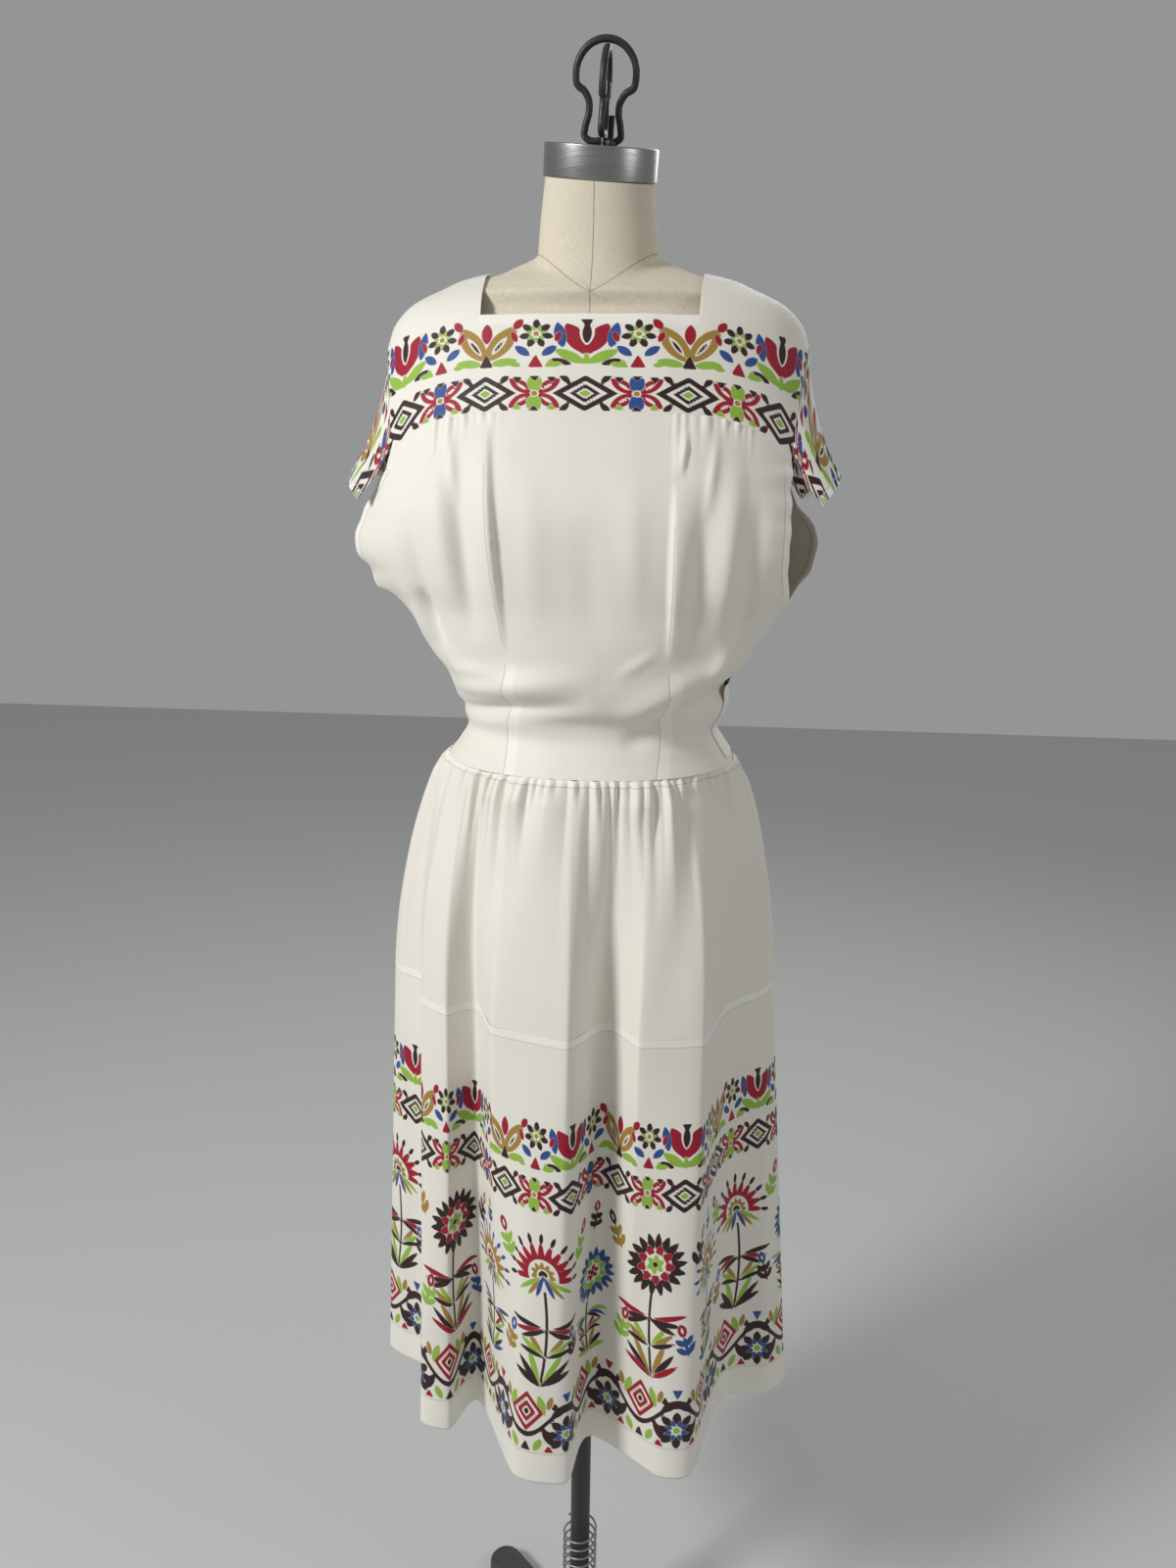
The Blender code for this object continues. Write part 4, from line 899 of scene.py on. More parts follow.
def shoulder_z(x):
    """Height of the shoulder line at x, where the section is as wide as x."""
    heights = np.linspace(ARM_TOP_Z, BODY[-1][0], 400)
    return np.interp(-np.abs(x), -table_curve(BODY, 1, heights), heights)


def yoke_seam_z(x):
    """The yoke seam is level over the chest and falls towards the armhole."""
    return YOKE_SEAM_Z - YOKE_SEAM_FALL * (np.abs(x) / YOKE_END_X) ** 5


def yoke_edge(share):
    """x and z of the yoke's outer edge, from the shoulder line to the yoke seam."""
    top_x = table_curve(BODY, 1, ARM_TOP_Z)
    x = top_x + (YOKE_END_X - top_x) * share
    return x, ARM_TOP_Z + (yoke_seam_z(YOKE_END_X) - ARM_TOP_Z) * share**1.6


def print_down(x, z):
    """Millimetres of the print below its top at x and z. The top falls with the shoulder
    and the foot lies along the yoke seam."""
    out = np.clip((np.abs(x) - NECK_X) / (ARM_TOP_X - NECK_X), 0, 1)
    top = PRINT_TOP_Z + (ARM_TOP_Z - PRINT_TOP_Z) * out**1.5
    return PRINT_TALL * (top - z) / (top - yoke_seam_z(np.minimum(np.abs(x), YOKE_END_X)))


def print_along(x):
    """Millimetres along the cloth from the middle to x, at the height of the print."""
    across = np.linspace(0, PRINT_END_X, 300)
    depth = body_depth(across, PRINT_LEVEL_Z, -1)
    length = np.concatenate([[0], np.cumsum(np.hypot(np.diff(across), np.diff(depth)))])
    return 1000 * np.sign(x) * np.interp(np.abs(x), across, length)


def turned_edge(line, inward, normal, width):
    """The cloth turned under along an edge: a narrow strip that runs out round the edge and
    back into the sheet, a little under its face. line holds the edge's points and inward
    points from it into the sheet."""
    steps = ((0.0, 0.0), (-0.0002, -0.5 * EDGE_INSET), (0.0006, -EDGE_INSET), (width, -1.1 * EDGE_INSET))
    return np.stack([line + inward * a + normal * b for a, b in steps])


def yoke_grid(side, neck_z):
    """Points of one yoke panel. Rows run from the shoulder line to the neckline's level and
    on to the yoke seam. Near the shoulder line the drop is squared, as the depth grows there
    as the root of the drop."""
    step = np.concatenate([np.linspace(0, 1, STRAP_ROWS, endpoint=False), np.linspace(1, 2, YOKE_ROWS)])
    step = step[:, None]
    strap = np.linspace(0, 1, STRAP_COLUMNS)[None, :]
    middle = np.linspace(-1, 1, NECK_COLUMNS)[None, :]
    drop, fall = np.minimum(step, 1), np.maximum(step - 1, 0)
    edge_x, edge_z = yoke_edge(0.5 * step)
    inner_x = NECK_X + (NECK_TOP_X - NECK_X) * (1 - drop)
    x_right = inner_x + (edge_x - inner_x) * strap
    low = neck_z + (yoke_edge(0.5)[1] - neck_z) * strap**2
    top = shoulder_z(x_right)
    z_right = np.where(step < 1, top + (low - top) * drop**2, low + (yoke_seam_z(x_right) - low) * fall)
    z_right = z_right + (edge_z - z_right[:, -1:]) * strap**4
    x_mid = inner_x * middle
    z_mid = np.where(step < 1, z_right[:, :1], neck_z + (yoke_seam_z(x_mid) - neck_z) * fall)
    x = np.concatenate([-x_right[:, ::-1], x_mid[:, 1:-1], x_right], axis=1)
    z = np.concatenate([z_right[:, ::-1], z_mid[:, 1:-1], z_right], axis=1)
    return np.stack([x, body_depth(x, z, side), z], axis=-1)


for side, label, neck_z in ((-1, "front", NECK_FRONT_Z), (1, "back", NECK_BACK_Z)):
    grid = yoke_grid(side, neck_z)
    x, z = grid[..., 0], grid[..., 2]
    normal = body_normal(grid)
    keep = np.ones((len(grid) - 1, grid.shape[1] - 1), dtype=bool)
    first, last = STRAP_COLUMNS - 1, STRAP_COLUMNS + NECK_COLUMNS - 3
    keep[:STRAP_ROWS, first : last + 1] = False
    puff = 0.0007 * wander(x / 0.4 + z, 120 + side, 9) * np.clip((1.60 - z) / 0.03, 0, 1)
    grid = grid + normal * puff[..., None]
    inks = printed(YOKE_PRINT, print_along(x), print_down(x, z))
    near = np.where(np.abs(x) <= NECK_X + 0.001, z - neck_z + FACING, -1.0)
    double = np.clip(near / 0.0008, 0, 1) * 0.8
    face = patch(grid, keep=keep, inks=inks, double=double)
    patches = [face if side < 0 else mirrored(face)]
    base_row = grid[STRAP_ROWS, first : last + 2]
    down_row = unit(grid[STRAP_ROWS + 1, first : last + 2] - base_row)
    base_normal = normal[STRAP_ROWS, first : last + 2]
    patches.append(patch(turned_edge(base_row, down_row, base_normal, FACING), double=1.0))
    for column, way in ((first, -1), (last + 1, 1)):
        line = grid[: STRAP_ROWS + 1, column]
        into = unit(grid[: STRAP_ROWS + 1, column + way] - line)
        patches.append(patch(turned_edge(line, into, normal[: STRAP_ROWS + 1, column], FACING), double=1.0))
    seam_row = grid[-1]
    patches.append(patch(turned_edge(seam_row, unit(grid[-2] - seam_row), normal[-1], YOKE_SEAM), double=1.0))
    yoke = cloth_object("yoke_" + label + "_cloth", patches, "yoke_" + label, printed_crepe)

# The bodice is one panel in front and one behind. The front is gathered into the yoke over
# each bust, and has a long open tuck on each side above a stitched dart at the waist.
ARMHOLE = [
    # z, half_width
    (1.3130, 0.1860),
    (1.3270, 0.1990),
    (1.3450, 0.2110),
    (1.3650, 0.2180),
    (1.3800, 0.2170),
    (1.4000, 0.2060),
    (1.4200, 0.1920),
    (1.4490, 0.1780),
]
DRAWN_EDGE = [
    # z, half width of the front's edge at the wearer's left armhole
    (1.3130, 0.1860),
    (1.3270, 0.1835),
    (1.3450, 0.1805),
    (1.3650, 0.1795),
    (1.3800, 0.1800),
    (1.4000, 0.1805),
    (1.4200, 0.1800),
    (1.4490, 0.1780),
]
FRONT_CREASES = [
    # start_x, start_z, end_x, end_z, left_width, right_width, height
    (-0.084, 1.476, -0.068, 1.275, 0.0027, 0.0170, 0.0074),
    (0.080, 1.430, 0.079, 1.272, 0.0170, 0.0027, 0.0072),
    (-0.134, 1.462, -0.112, 1.310, 0.0130, 0.0120, 0.0046),
    (-0.112, 1.440, -0.096, 1.285, 0.0085, 0.0080, -0.0042),
    (0.106, 1.430, 0.096, 1.262, 0.0100, 0.0090, -0.0050),
    (0.130, 1.450, 0.120, 1.270, 0.0110, 0.0100, 0.0052),
    (0.152, 1.420, 0.142, 1.280, 0.0080, 0.0090, -0.0036),
    (-0.158, 1.400, -0.130, 1.270, 0.0080, 0.0100, -0.0034),
    (-0.160, 1.210, 0.010, 1.234, 0.0100, 0.0080, -0.0090),
    (-0.160, 1.236, 0.020, 1.258, 0.0120, 0.0120, 0.0074),
    (0.036, 1.192, 0.150, 1.248, 0.0095, 0.0080, -0.0095),
    (0.030, 1.220, 0.146, 1.276, 0.0120, 0.0110, 0.0076),
    (-0.070, 1.214, 0.080, 1.208, 0.0110, 0.0110, -0.0040),
    (0.088, 1.470, 0.083, 1.428, 0.0016, 0.0060, 0.0030),
    (-0.118, 1.472, -0.108, 1.402, 0.0040, 0.0060, 0.0024),
    (0.112, 1.470, 0.106, 1.395, 0.0050, 0.0040, 0.0026),
    (-0.045, 1.440, -0.038, 1.290, 0.0140, 0.0120, 0.0020),
    (0.004, 1.400, 0.014, 1.280, 0.0120, 0.0140, -0.0016),
    (0.044, 1.430, 0.048, 1.300, 0.0110, 0.0130, 0.0022),
    (-0.170, 1.335, -0.096, 1.236, 0.0060, 0.0090, 0.0056),
    (0.174, 1.340, 0.106, 1.252, 0.0090, 0.0060, 0.0056),
    (-0.150, 1.332, -0.128, 1.262, 0.0050, 0.0055, -0.0072),
    (-0.162, 1.318, -0.140, 1.256, 0.0060, 0.0060, 0.0040),
    (0.146, 1.322, 0.136, 1.262, 0.0070, 0.0080, -0.0046),
    (0.128, 1.300, 0.112, 1.248, 0.0060, 0.0070, 0.0034),
    (-0.128, 1.262, -0.072, 1.258, 0.0060, 0.0050, 0.0022),
    (0.030, 1.258, 0.070, 1.284, 0.0050, 0.0060, 0.0018),
]
BACK_CREASES = [
    # start_x, start_z, end_x, end_z, left_width, right_width, height
    (0.120, 1.450, 0.100, 1.260, 0.0120, 0.0080, 0.0036),
    (-0.110, 1.445, -0.106, 1.255, 0.0080, 0.0120, 0.0034),
    (0.070, 1.430, 0.078, 1.270, 0.0100, 0.0100, -0.0026),
    (-0.062, 1.440, -0.074, 1.262, 0.0110, 0.0090, -0.0026),
    (0.140, 1.236, 0.010, 1.246, 0.0110, 0.0120, 0.0038),
    (-0.020, 1.240, -0.138, 1.232, 0.0110, 0.0120, 0.0036),
    (0.128, 1.210, 0.020, 1.220, 0.0090, 0.0100, -0.0032),
    (-0.010, 1.216, -0.126, 1.208, 0.0090, 0.0100, -0.0030),
    (0.024, 1.420, 0.016, 1.300, 0.0130, 0.0130, 0.0018),
]
DARTS = [
    # top_x, top_z, foot_x, foot_z, side that the allowance is pressed to
    (-0.067, 1.268, -0.071, 1.170, 1),
    (0.078, 1.262, 0.070, 1.170, 1),
]
TUCKS = [
    # top_x, top_z, middle_x, foot_x, foot_z
    (-0.0835, 1.440, -0.0800, -0.0690, 1.290),
    (0.0795, 1.390, 0.0790, 0.0775, 1.288),
]
DART_BAND = 11.0
BODICE_COLUMNS = 290
BODICE_ROWS = 170
GATHER_GROUP = (0.277, 0.577)
GROUP_GATHERS = 9
HEM_NARROW = 0.006
WAIST_SEAM = 0.010  # width of the seam allowance under the bodice's foot
ARMHOLE_OPEN = (1.318, 1.446)  # between these heights the armhole's edge is free
LEVEL_ROWS_Z = 1.390  # above this the bodice's rows bend to follow the yoke seam
NO_SEAM = 60.0  # millimetres: too far from a seam to show


def crease_height(x, z, creases):
    """How far the creases raise the cloth at x and z. Each is a bell across its line, with
    its own width on either hand as one goes along it, and fades out at both ends."""
    total = 0 * x
    for start_x, start_z, end_x, end_z, left, right, height in creases:
        length = math.hypot(end_x - start_x, end_z - start_z)
        ahead_x, ahead_z = (end_x - start_x) / length, (end_z - start_z) / length
        along = ((x - start_x) * ahead_x + (z - start_z) * ahead_z) / length
        across = (z - start_z) * ahead_x - (x - start_x) * ahead_z
        bell = np.exp(-((across / np.where(across > 0, left, right)) ** 2))
        total = total + height * bell * np.sin(math.pi * np.clip(along, 0, 1)) ** 1.1
    return total


def edge_half_width(z):
    """Half width of a bodice panel: the armhole's edge, and below it the side seam."""
    side = table_curve(BODY, 1, z)
    return np.where(z > ARMHOLE[0][0], np.minimum(table_curve(ARMHOLE, 1, z), side), side)


def nearer(first, second):
    """Whichever of two signed distances is the smaller in size."""
    return np.where(np.abs(first) < np.abs(second), first, second)


def dart_distance(x, z):
    """Signed millimetres to the nearest dart, positive on the side of its allowance. Past a
    dart's top the distance grows fast, so that the line ends there."""
    nearest = np.full(x.shape, NO_SEAM)
    for top_x, top_z, foot_x, foot_z, hand in DARTS:
        line_x = top_x + (foot_x - top_x) * (top_z - z) / (top_z - foot_z)
        away = 1000 * hand * (x - line_x)
        away = away + np.where(away < 0, -4000, 4000) * np.maximum(z - top_z, 0)
        nearest = nearer(away, nearest)
    return nearest


def tuck_distance(x, z):
    """Signed millimetres to the nearest long tuck's open edge, a parabola from its top to its
    foot that bends towards its middle."""
    nearest = np.full(x.shape, NO_SEAM)
    for top_x, top_z, middle_x, foot_x, foot_z in TUCKS:
        share = (top_z - z) / (top_z - foot_z)
        line_x = (1 - share) ** 2 * top_x + 2 * share * (1 - share) * middle_x + share**2 * foot_x
        away = 1000 * (x - line_x)
        past = np.maximum(z - top_z, 0) + np.maximum(foot_z - z, 0)
        away = away + np.where(away < 0, -4000, 4000) * past
        nearest = nearer(away, nearest)
    return nearest


for side, label, creases in ((-1, "front", FRONT_CREASES), (1, "back", BACK_CREASES)):
    across = np.linspace(-1, 1, BODICE_COLUMNS)[None, :]
    level = np.linspace(YOKE_SEAM_Z, WAIST_SEAM_Z, BODICE_ROWS)[:, None]
    top = yoke_seam_z(YOKE_END_X * np.sin(across * math.pi / 2))
    bent = np.clip((level - LEVEL_ROWS_Z) / (YOKE_SEAM_Z - LEVEL_ROWS_Z), 0, 1)
    z = level + (top - YOKE_SEAM_Z) * bent
    half_width = edge_half_width(z)
    if side < 0:
        drawn = np.minimum(half_width, table_curve(DRAWN_EDGE, 1, z))
        half_width = np.where(across > 0, drawn, half_width)
    x = half_width * np.sin(across * math.pi / 2)
    grid = np.stack([x, body_depth(x, z, side), z], axis=-1)
    normal = body_normal(grid)
    fade = np.clip((z - WAIST_SEAM_Z) / 0.008, 0, 1) * np.clip((top - z) / 0.004, 0, 1)
    lift = crease_height(x, z, creases) * fade
    low, high = GATHER_GROUP
    group = (np.abs(across) - low) / (high - low)
    if side < 0:
        phase = GROUP_GATHERS * (group + 0.05 * wander(across, 201, 6))
        ridge = 1 - np.abs(2 * (phase % 1.0) - 1) ** 1.6
        own = np.floor(phase) + 20 * np.sign(across)
        reach = 0.022 + 0.016 * np.sin(own * 12.9898)
        strong = 0.75 + 0.5 * np.sin(own * 78.233)
        inside = np.clip((group + 0.08) / 0.12, 0, 1) * np.clip((1.08 - group) / 0.12, 0, 1)
        fall = top - z
        lift = lift + 0.0022 * strong * ridge * inside * np.exp(-((fall / reach) ** 1.4))
        swell = np.sin(math.pi * np.clip(group, 0, 1)) * np.clip(fall / 0.02, 0, 1)
        swell = swell * np.exp(-((fall / 0.09) ** 2))
        lift = lift + 0.003 * swell * (0.6 + 0.4 * wander(across, 204, 6))
    free = np.clip((z - ARMHOLE_OPEN[0]) / 0.012, 0, 1) * np.clip((ARMHOLE_OPEN[1] - z) / 0.012, 0, 1)
    edge_gap = half_width * (1 - np.abs(np.sin(across * math.pi / 2)))
    wave = 0.0046 * wander(z / 0.10 + 0.2 * np.sign(x), 211 + side, 4) * np.exp(-edge_gap / 0.014) * free
    puff = 0.0011 * wander(x / 0.4 + 0.3 * z, 220 + side, 7) * fade
    grid = grid + normal * (lift + wave + puff)[..., None]
    away = dart_distance(x, z) if side < 0 else np.full(x.shape, NO_SEAM)
    near_edge = np.clip((HEM_NARROW - edge_gap) / 0.0008, 0, 1) * free
    band = np.clip(away / 0.4, 0, 1) * np.clip((DART_BAND - away) / 0.4, 0, 1)
    double = np.clip(near_edge * 0.8 + band * 0.8, 0, 1)
    hem_line = 1000 * (edge_gap - HEM_NARROW) + 40 * (1 - free)
    # The armhole hem's stitch line, the darts and, in front, the tucks' open edges are darkened by the crepe
    # as painted shade lines.
    stitch = nearer(hem_line, away)
    if side < 0:
        stitch = nearer(tuck_distance(x, z), stitch)
    face = patch(grid, double=double, seam=SEAM_ZERO + stitch)
    patches = [face if side < 0 else mirrored(face)]
    rows = np.where(z[:, 0] > ARMHOLE[0][0] - 0.002)[0]
    for column, way in ((0, 1), (BODICE_COLUMNS - 1, -1)):
        line = grid[rows, column]
        into = unit(grid[rows, column + way] - line)
        patches.append(patch(turned_edge(line, into, normal[rows, column], HEM_NARROW), double=0.8))
    foot = grid[-1]
    patches.append(patch(turned_edge(foot, unit(grid[-2] - foot), normal[-1], WAIST_SEAM), double=0.8))
    bodice = cloth_object("bodice_" + label + "_cloth", patches, "bodice_" + label, plain_crepe)

# Cap sleeves of the printed cloth cover the top of the armholes and flare to a narrow hem.
SLEEVE_TIP = (0.228, 1.435)
SLEEVE_HEM_END = (0.203, 1.405)
SLEEVE_HEM_DEPTH = 0.094
SLEEVE_REACH = 0.92
SLEEVE_ROWS = 60
SLEEVE_COLUMNS = 140

for hand, label in ((-1, "left"), (1, "right")):
    half = np.linspace(0, SLEEVE_REACH, SLEEVE_COLUMNS // 2)
    around = np.concatenate([-half[:0:-1], half])[None, :]
    down = np.linspace(0, 1, SLEEVE_ROWS)[:, None]
    joint_x, joint_z = yoke_edge(np.abs(around))
    joint_y = np.where(around < 0, body_depth(joint_x, joint_z, -1), body_depth(joint_x, joint_z, 1))
    turn = around * math.pi / 2
    hem_x = SLEEVE_HEM_END[0] + (SLEEVE_TIP[0] - SLEEVE_HEM_END[0]) * np.cos(turn)
    hem_z = SLEEVE_HEM_END[1] + (SLEEVE_TIP[1] - SLEEVE_HEM_END[1]) * np.cos(turn)
    hem_y = SLEEVE_HEM_DEPTH * np.sin(turn)
    x = joint_x + (hem_x - joint_x) * down**1.7
    y = joint_y + (hem_y - joint_y) * down
    z = joint_z + (hem_z - joint_z) * down
    grid = np.stack([x, y, z], axis=-1)
    normal = unit(np.cross(np.gradient(grid, axis=0), np.gradient(grid, axis=1)))
    ripple = 0.0022 * wander(around + 0 * down, 301 + hand, 5) * down**2
    grid = grid + normal * ripple[..., None]
    length = 1000 * np.linalg.norm(grid[-1] - grid[0], axis=-1)[None, :]
    start = print_along(joint_x)
    inks = printed(YOKE_PRINT, start + length * down, print_down(joint_x, joint_z) + 0 * down)
    double = np.clip((HEM_NARROW * 1000 - length * (1 - down)) / 0.8, 0, 1) * 0.6
    into = unit(grid[-2] - grid[-1])
    mirror = np.array([hand, 1, 1])
    under = turned_edge(grid[-1], into, normal[-1], HEM_NARROW)
    stitch = SEAM_ZERO + length * (1 - down) - 1000 * HEM_NARROW
    patches = [patch(grid * mirror, inks=inks, double=double, seam=stitch), patch(under * mirror, double=0.8)]
    if hand < 0:
        patches = [mirrored(piece) for piece in patches]
    sleeve = cloth_object("sleeve_" + label + "_cloth", patches, "sleeve_" + label, printed_crepe)

# The placket strip closes the bodice at the wearer's left side. Its flat metal snaps are not built.
PLACKET_Z = (1.170, 1.242)
PLACKET_TURN = (74, 100)  # degrees round from the front
PLACKET_LIFT = 0.0018
PLACKET_HEM = 0.004


def body_ring(z, turn):
    """Point of the body at height z, turn radians round from the front towards +X."""
    s, c = np.sin(turn), np.cos(turn)
    power = 2 / SECTION_POWER
    half_width, depth = body_size(z, c > 0)
    x = half_width * np.sign(s) * np.abs(s) ** power
    return np.stack([x, -depth * np.sign(c) * np.abs(c) ** power, z + 0 * x], axis=-1)


turn = np.radians(np.linspace(*PLACKET_TURN, 30))[None, :]
z = np.linspace(PLACKET_Z[1], PLACKET_Z[0], 40)[:, None]
grid = body_ring(z, turn)
grid = grid + body_normal(grid) * PLACKET_LIFT
normal = body_normal(grid)
rims = []
for line, inside, out in ((grid[:, 0], grid[:, 1], normal[:, 0]), (grid[:, -1], grid[:, -2], normal[:, -1]),
                          (grid[0], grid[1], normal[0]), (grid[-1], grid[-2], normal[-1])):
    rims.append(patch(turned_edge(line, unit(inside - line), out, PLACKET_HEM), double=0.9))
strip = cloth_object("side_placket_cloth", [patch(grid, double=0.9), *rims], "side_placket", plain_crepe)

# The dress form is padded and covered in natural linen, with a seam down its middle, seams at its sides
# and one round the foot of the neck, and a pin stuck into its front. Only the middle seam in front and the
# neck's seam are drawn.
LINEN = (0.70, 0.63, 0.50)
FORM_GAP = 0.0023  # from the dress to the form at the shoulders
FORM = [
    # z, half_width, front, back
    (0.9000, 0.1520, 0.100, 0.100),
    (0.9400, 0.1580, 0.105, 0.106),
    (1.0100, 0.1570, 0.107, 0.110),
    (1.0900, 0.1400, 0.104, 0.104),
    (1.1500, 0.1210, 0.099, 0.092),
    (1.2000, 0.1110, 0.094, 0.082),
    (1.2500, 0.1190, 0.102, 0.084),
    (1.3100, 0.1380, 0.117, 0.092),
    (1.3700, 0.1540, 0.130, 0.098),
    (1.4200, 0.1630, 0.124, 0.099),
    (1.4800, 0.1670, 0.106, 0.094),
    (1.5300, 0.1690, 0.094, 0.084),
    (1.5580, 0.1690, 0.084, 0.074),
    (1.5730, 0.1640, 0.076, 0.067),
]
SHOULDER_ROWS = (1.5880, 1.5940, 1.5990, 1.6035, 1.6062)
RIDGE = [
    # z, half_width, front, back
    (1.6085, 0.0915, 0.043, 0.039),
    (1.6150, 0.0770, 0.033, 0.030),
    (1.6210, 0.0620, 0.022, 0.020),
    (1.6300, 0.0400, 0.010, 0.010),
    (1.6500, 0.0100, 0.004, 0.004),
    (1.6890, 0.0100, 0.004, 0.004),
]
NECK = [
    # z, half_width, front, back, tilt
    (1.5730, 0.0720, 0.0740, 0.0560, 0.00),
    (1.5850, 0.0680, 0.0730, 0.0590, 0.00),
    (1.5940, 0.0620, 0.0680, 0.0580, 0.00),
    (1.6000, 0.0595, 0.0655, 0.0570, 0.01),
    (1.6080, 0.0570, 0.0620, 0.0560, 0.03),
    (1.6150, 0.0560, 0.0595, 0.0545, 0.06),
    (1.6210, 0.0552, 0.0578, 0.0535, 0.09),
    (1.6300, 0.0545, 0.0560, 0.0515, 0.13),
    (1.6500, 0.0530, 0.0525, 0.0490, 0.19),
    (1.6890, 0.0485, 0.0495, 0.0475, 0.25),
]
NECK_TILT = 0.25
NECK_ROLL = 0.077
FORM_COLUMNS = 260
FORM_STEPS = 9  # rows between two rows of the table
NECK_SEAM_Z = 1.6255
NECK_SEAM_DIP = (0.0425, 0.012)  # how far the neck's seam dips at the front and the back
BLEND = 14  # the higher, the tighter the turn from the shoulders to the neck
BLEND_START_Z = 1.573
BLEND_EASE = 0.012
GIRTH_ROW = 60  # the row that the linen's threads are measured round


def linen(name):
    """Natural linen: slubs both ways, darker grooves along the seams."""
    made, tree, shader = solid_material(name, LINEN, 0.85)
    flat = tree.nodes.new("ShaderNodeUVMap")
    flat.uv_map = "cloth"
    weave = []
    for scale in ((160, 2600, 1), (2600, 160, 1)):
        mapping = tree.nodes.new("ShaderNodeMapping")
        mapping.inputs["Scale"].default_value = scale
        tree.links.new(flat.outputs["UV"], mapping.inputs["Vector"])
        weave.append(add_noise(tree, mapping.outputs["Vector"], 1.0, 2.0))
    both = add_maths(tree, "ADD", *weave)
    shade = map_range(tree, both, 0.75, 1.25, 0.0, 1.0)
    colour = mix_colours(tree, shade, tuple(0.86 * c for c in LINEN), tuple(1.08 * c for c in LINEN))
    groove = seam_groove(tree, 0.8)
    dark = tuple(0.52 * c for c in LINEN)
    tree.links.new(mix_colours(tree, groove, dark, colour), shader.inputs["Base Color"])
    add_bump(tree, shader, add_maths(tree, "MULTIPLY_ADD", groove, 2.2, both), 0.5, 0.0005)
    return made


def section_reach(turn, half_width, front, back):
    """How far a superellipse reaches from its middle, turn radians round from the front: its
    equation solved for the distance."""
    s, c = np.abs(np.sin(turn)), np.abs(np.cos(turn))
    depth = np.where(np.cos(turn) > 0, front, back)
    return ((s / half_width) ** SECTION_POWER + (c / depth) ** SECTION_POWER) ** (-1 / SECTION_POWER)


form_rows = list(FORM)
for z in SHOULDER_ROWS:
    half_width, front_depth, back_depth = (float(table_curve(BODY, c, z)) for c in (1, 2, 3))
    form_rows.append((z - FORM_GAP, half_width - 0.6 * FORM_GAP,
                      front_depth - FORM_GAP, back_depth - FORM_GAP))
form_rows = form_rows + RIDGE
at = np.arange((len(form_rows) - 1) * FORM_STEPS + 1) / FORM_STEPS
numbered = [(k, *row) for k, row in enumerate(form_rows)]
z, half_width, front_depth, back_depth = (table_curve(numbered, c, at)[:, None] for c in range(1, 5))
turn = np.linspace(-math.pi, math.pi, FORM_COLUMNS + 1)[None, :]
shoulders = section_reach(turn, half_width, front_depth, back_depth)
neck_width, neck_front, neck_back, tilt = (table_curve(NECK, c, z) for c in range(1, 5))
necks = section_reach(turn, neck_width, neck_front, neck_back)
joined = (shoulders**BLEND + necks**BLEND) ** (1 / BLEND)
reach = shoulders + (joined - shoulders) * np.clip((z - BLEND_START_Z) / BLEND_EASE, 0, 1)
x, y = reach * np.sin(turn), -reach * np.cos(turn)
roll = NECK_ROLL * (tilt / NECK_TILT) ** 2
grid = np.stack([x, y, z + tilt * y - roll * x], axis=-1)[::-1]
x, y, z = (grid[..., k] for k in range(3))
dip = np.where(np.cos(turn) > 0, NECK_SEAM_DIP[0], NECK_SEAM_DIP[1])
neck_seam = z - NECK_SEAM_Z + dip * (1 - np.abs(np.sin(turn))) ** 1.15
seam = 1000 * nearer(x, neck_seam)
seam = SEAM_ZERO + np.where(y < 0.03, seam, 1000 * neck_seam)
uv = np.stack([run_length(grid[GIRTH_ROW]) + 0 * z, z], axis=-1)
caps = []
for row, flip in ((grid[0], False), (grid[-1], True)):
    centre = np.broadcast_to(row.mean(axis=0), row.shape)
    pair = np.stack([row, centre] if flip else [centre, row])
    caps.append(patch(pair))
cloth_object("form_linen", [patch(grid, uv=uv, seam=seam), *caps], "form_torso", linen("form_linen"))

# The neck is closed by a brushed steel cap, and a handle of two bent wires and a threaded
# bolt stand on it. All of it leans with the neck.
NECK_TOP_Z = 1.689
CAP_RADIUS = 0.051
CAP_HEIGHT = 0.027
WIRE_RADIUS = 0.0031
LOOP_HEIGHT = 0.083
LOOP_HALF_WIDTH = 0.0262
LOOP_LEG = [
    # half_width, height of the loop's leg, from the bar along its foot to the arch
    (0.0004, 0.0),
    (0.0120, 0.0),
    (0.0158, 0.0030),
    (0.0155, 0.0110),
    (0.0131, 0.0210),
    (0.0133, 0.0285),
    (0.0180, 0.0370),
]
BOLT_PLACE = (0.0080, -0.0085)
BOLT_NUT = 0.0042
BOLT_RADIUS = 0.0028
BOLT_HEIGHT = 0.023
NUT_HEIGHT = 0.0044
THREAD_STEPS = 110
THREAD_DEPTH = 0.0004
GAP = 0.0003
roll_angle = math.atan(NECK_ROLL)
lean_angle = math.atan(NECK_TILT * math.cos(roll_angle))
neck_turn = np.array(Euler((lean_angle, roll_angle, 0)).to_matrix())


def leaning(points):
    """Points of the neck's own frame, carried to where it leans."""
    return points @ neck_turn.T + np.array([0, 0, NECK_TOP_Z])


def closed_object(name, grid, node, material, smooth_angle=40):
    """A solid from rings of points, bottom to top, each closed on itself and counted
    anticlockwise from above. Both ends are closed."""
    rows, columns = grid.shape[:2]
    index = np.arange(rows * columns).reshape(rows, columns)
    after = np.roll(index, -1, axis=1)
    quads = np.stack([index[:-1], after[:-1], after[1:], index[1:]], axis=-1).reshape(-1, 4)
    faces = quads.tolist() + [index[0][::-1].tolist(), index[-1].tolist()]
    mesh = bpy.data.meshes.new(name)
    mesh.from_pydata(grid.reshape(-1, 3).tolist(), [], faces)
    mesh.shade_smooth()
    mesh.set_sharp_from_angle(angle=math.radians(smooth_angle))
    return show_piece(name, mesh, material, node)


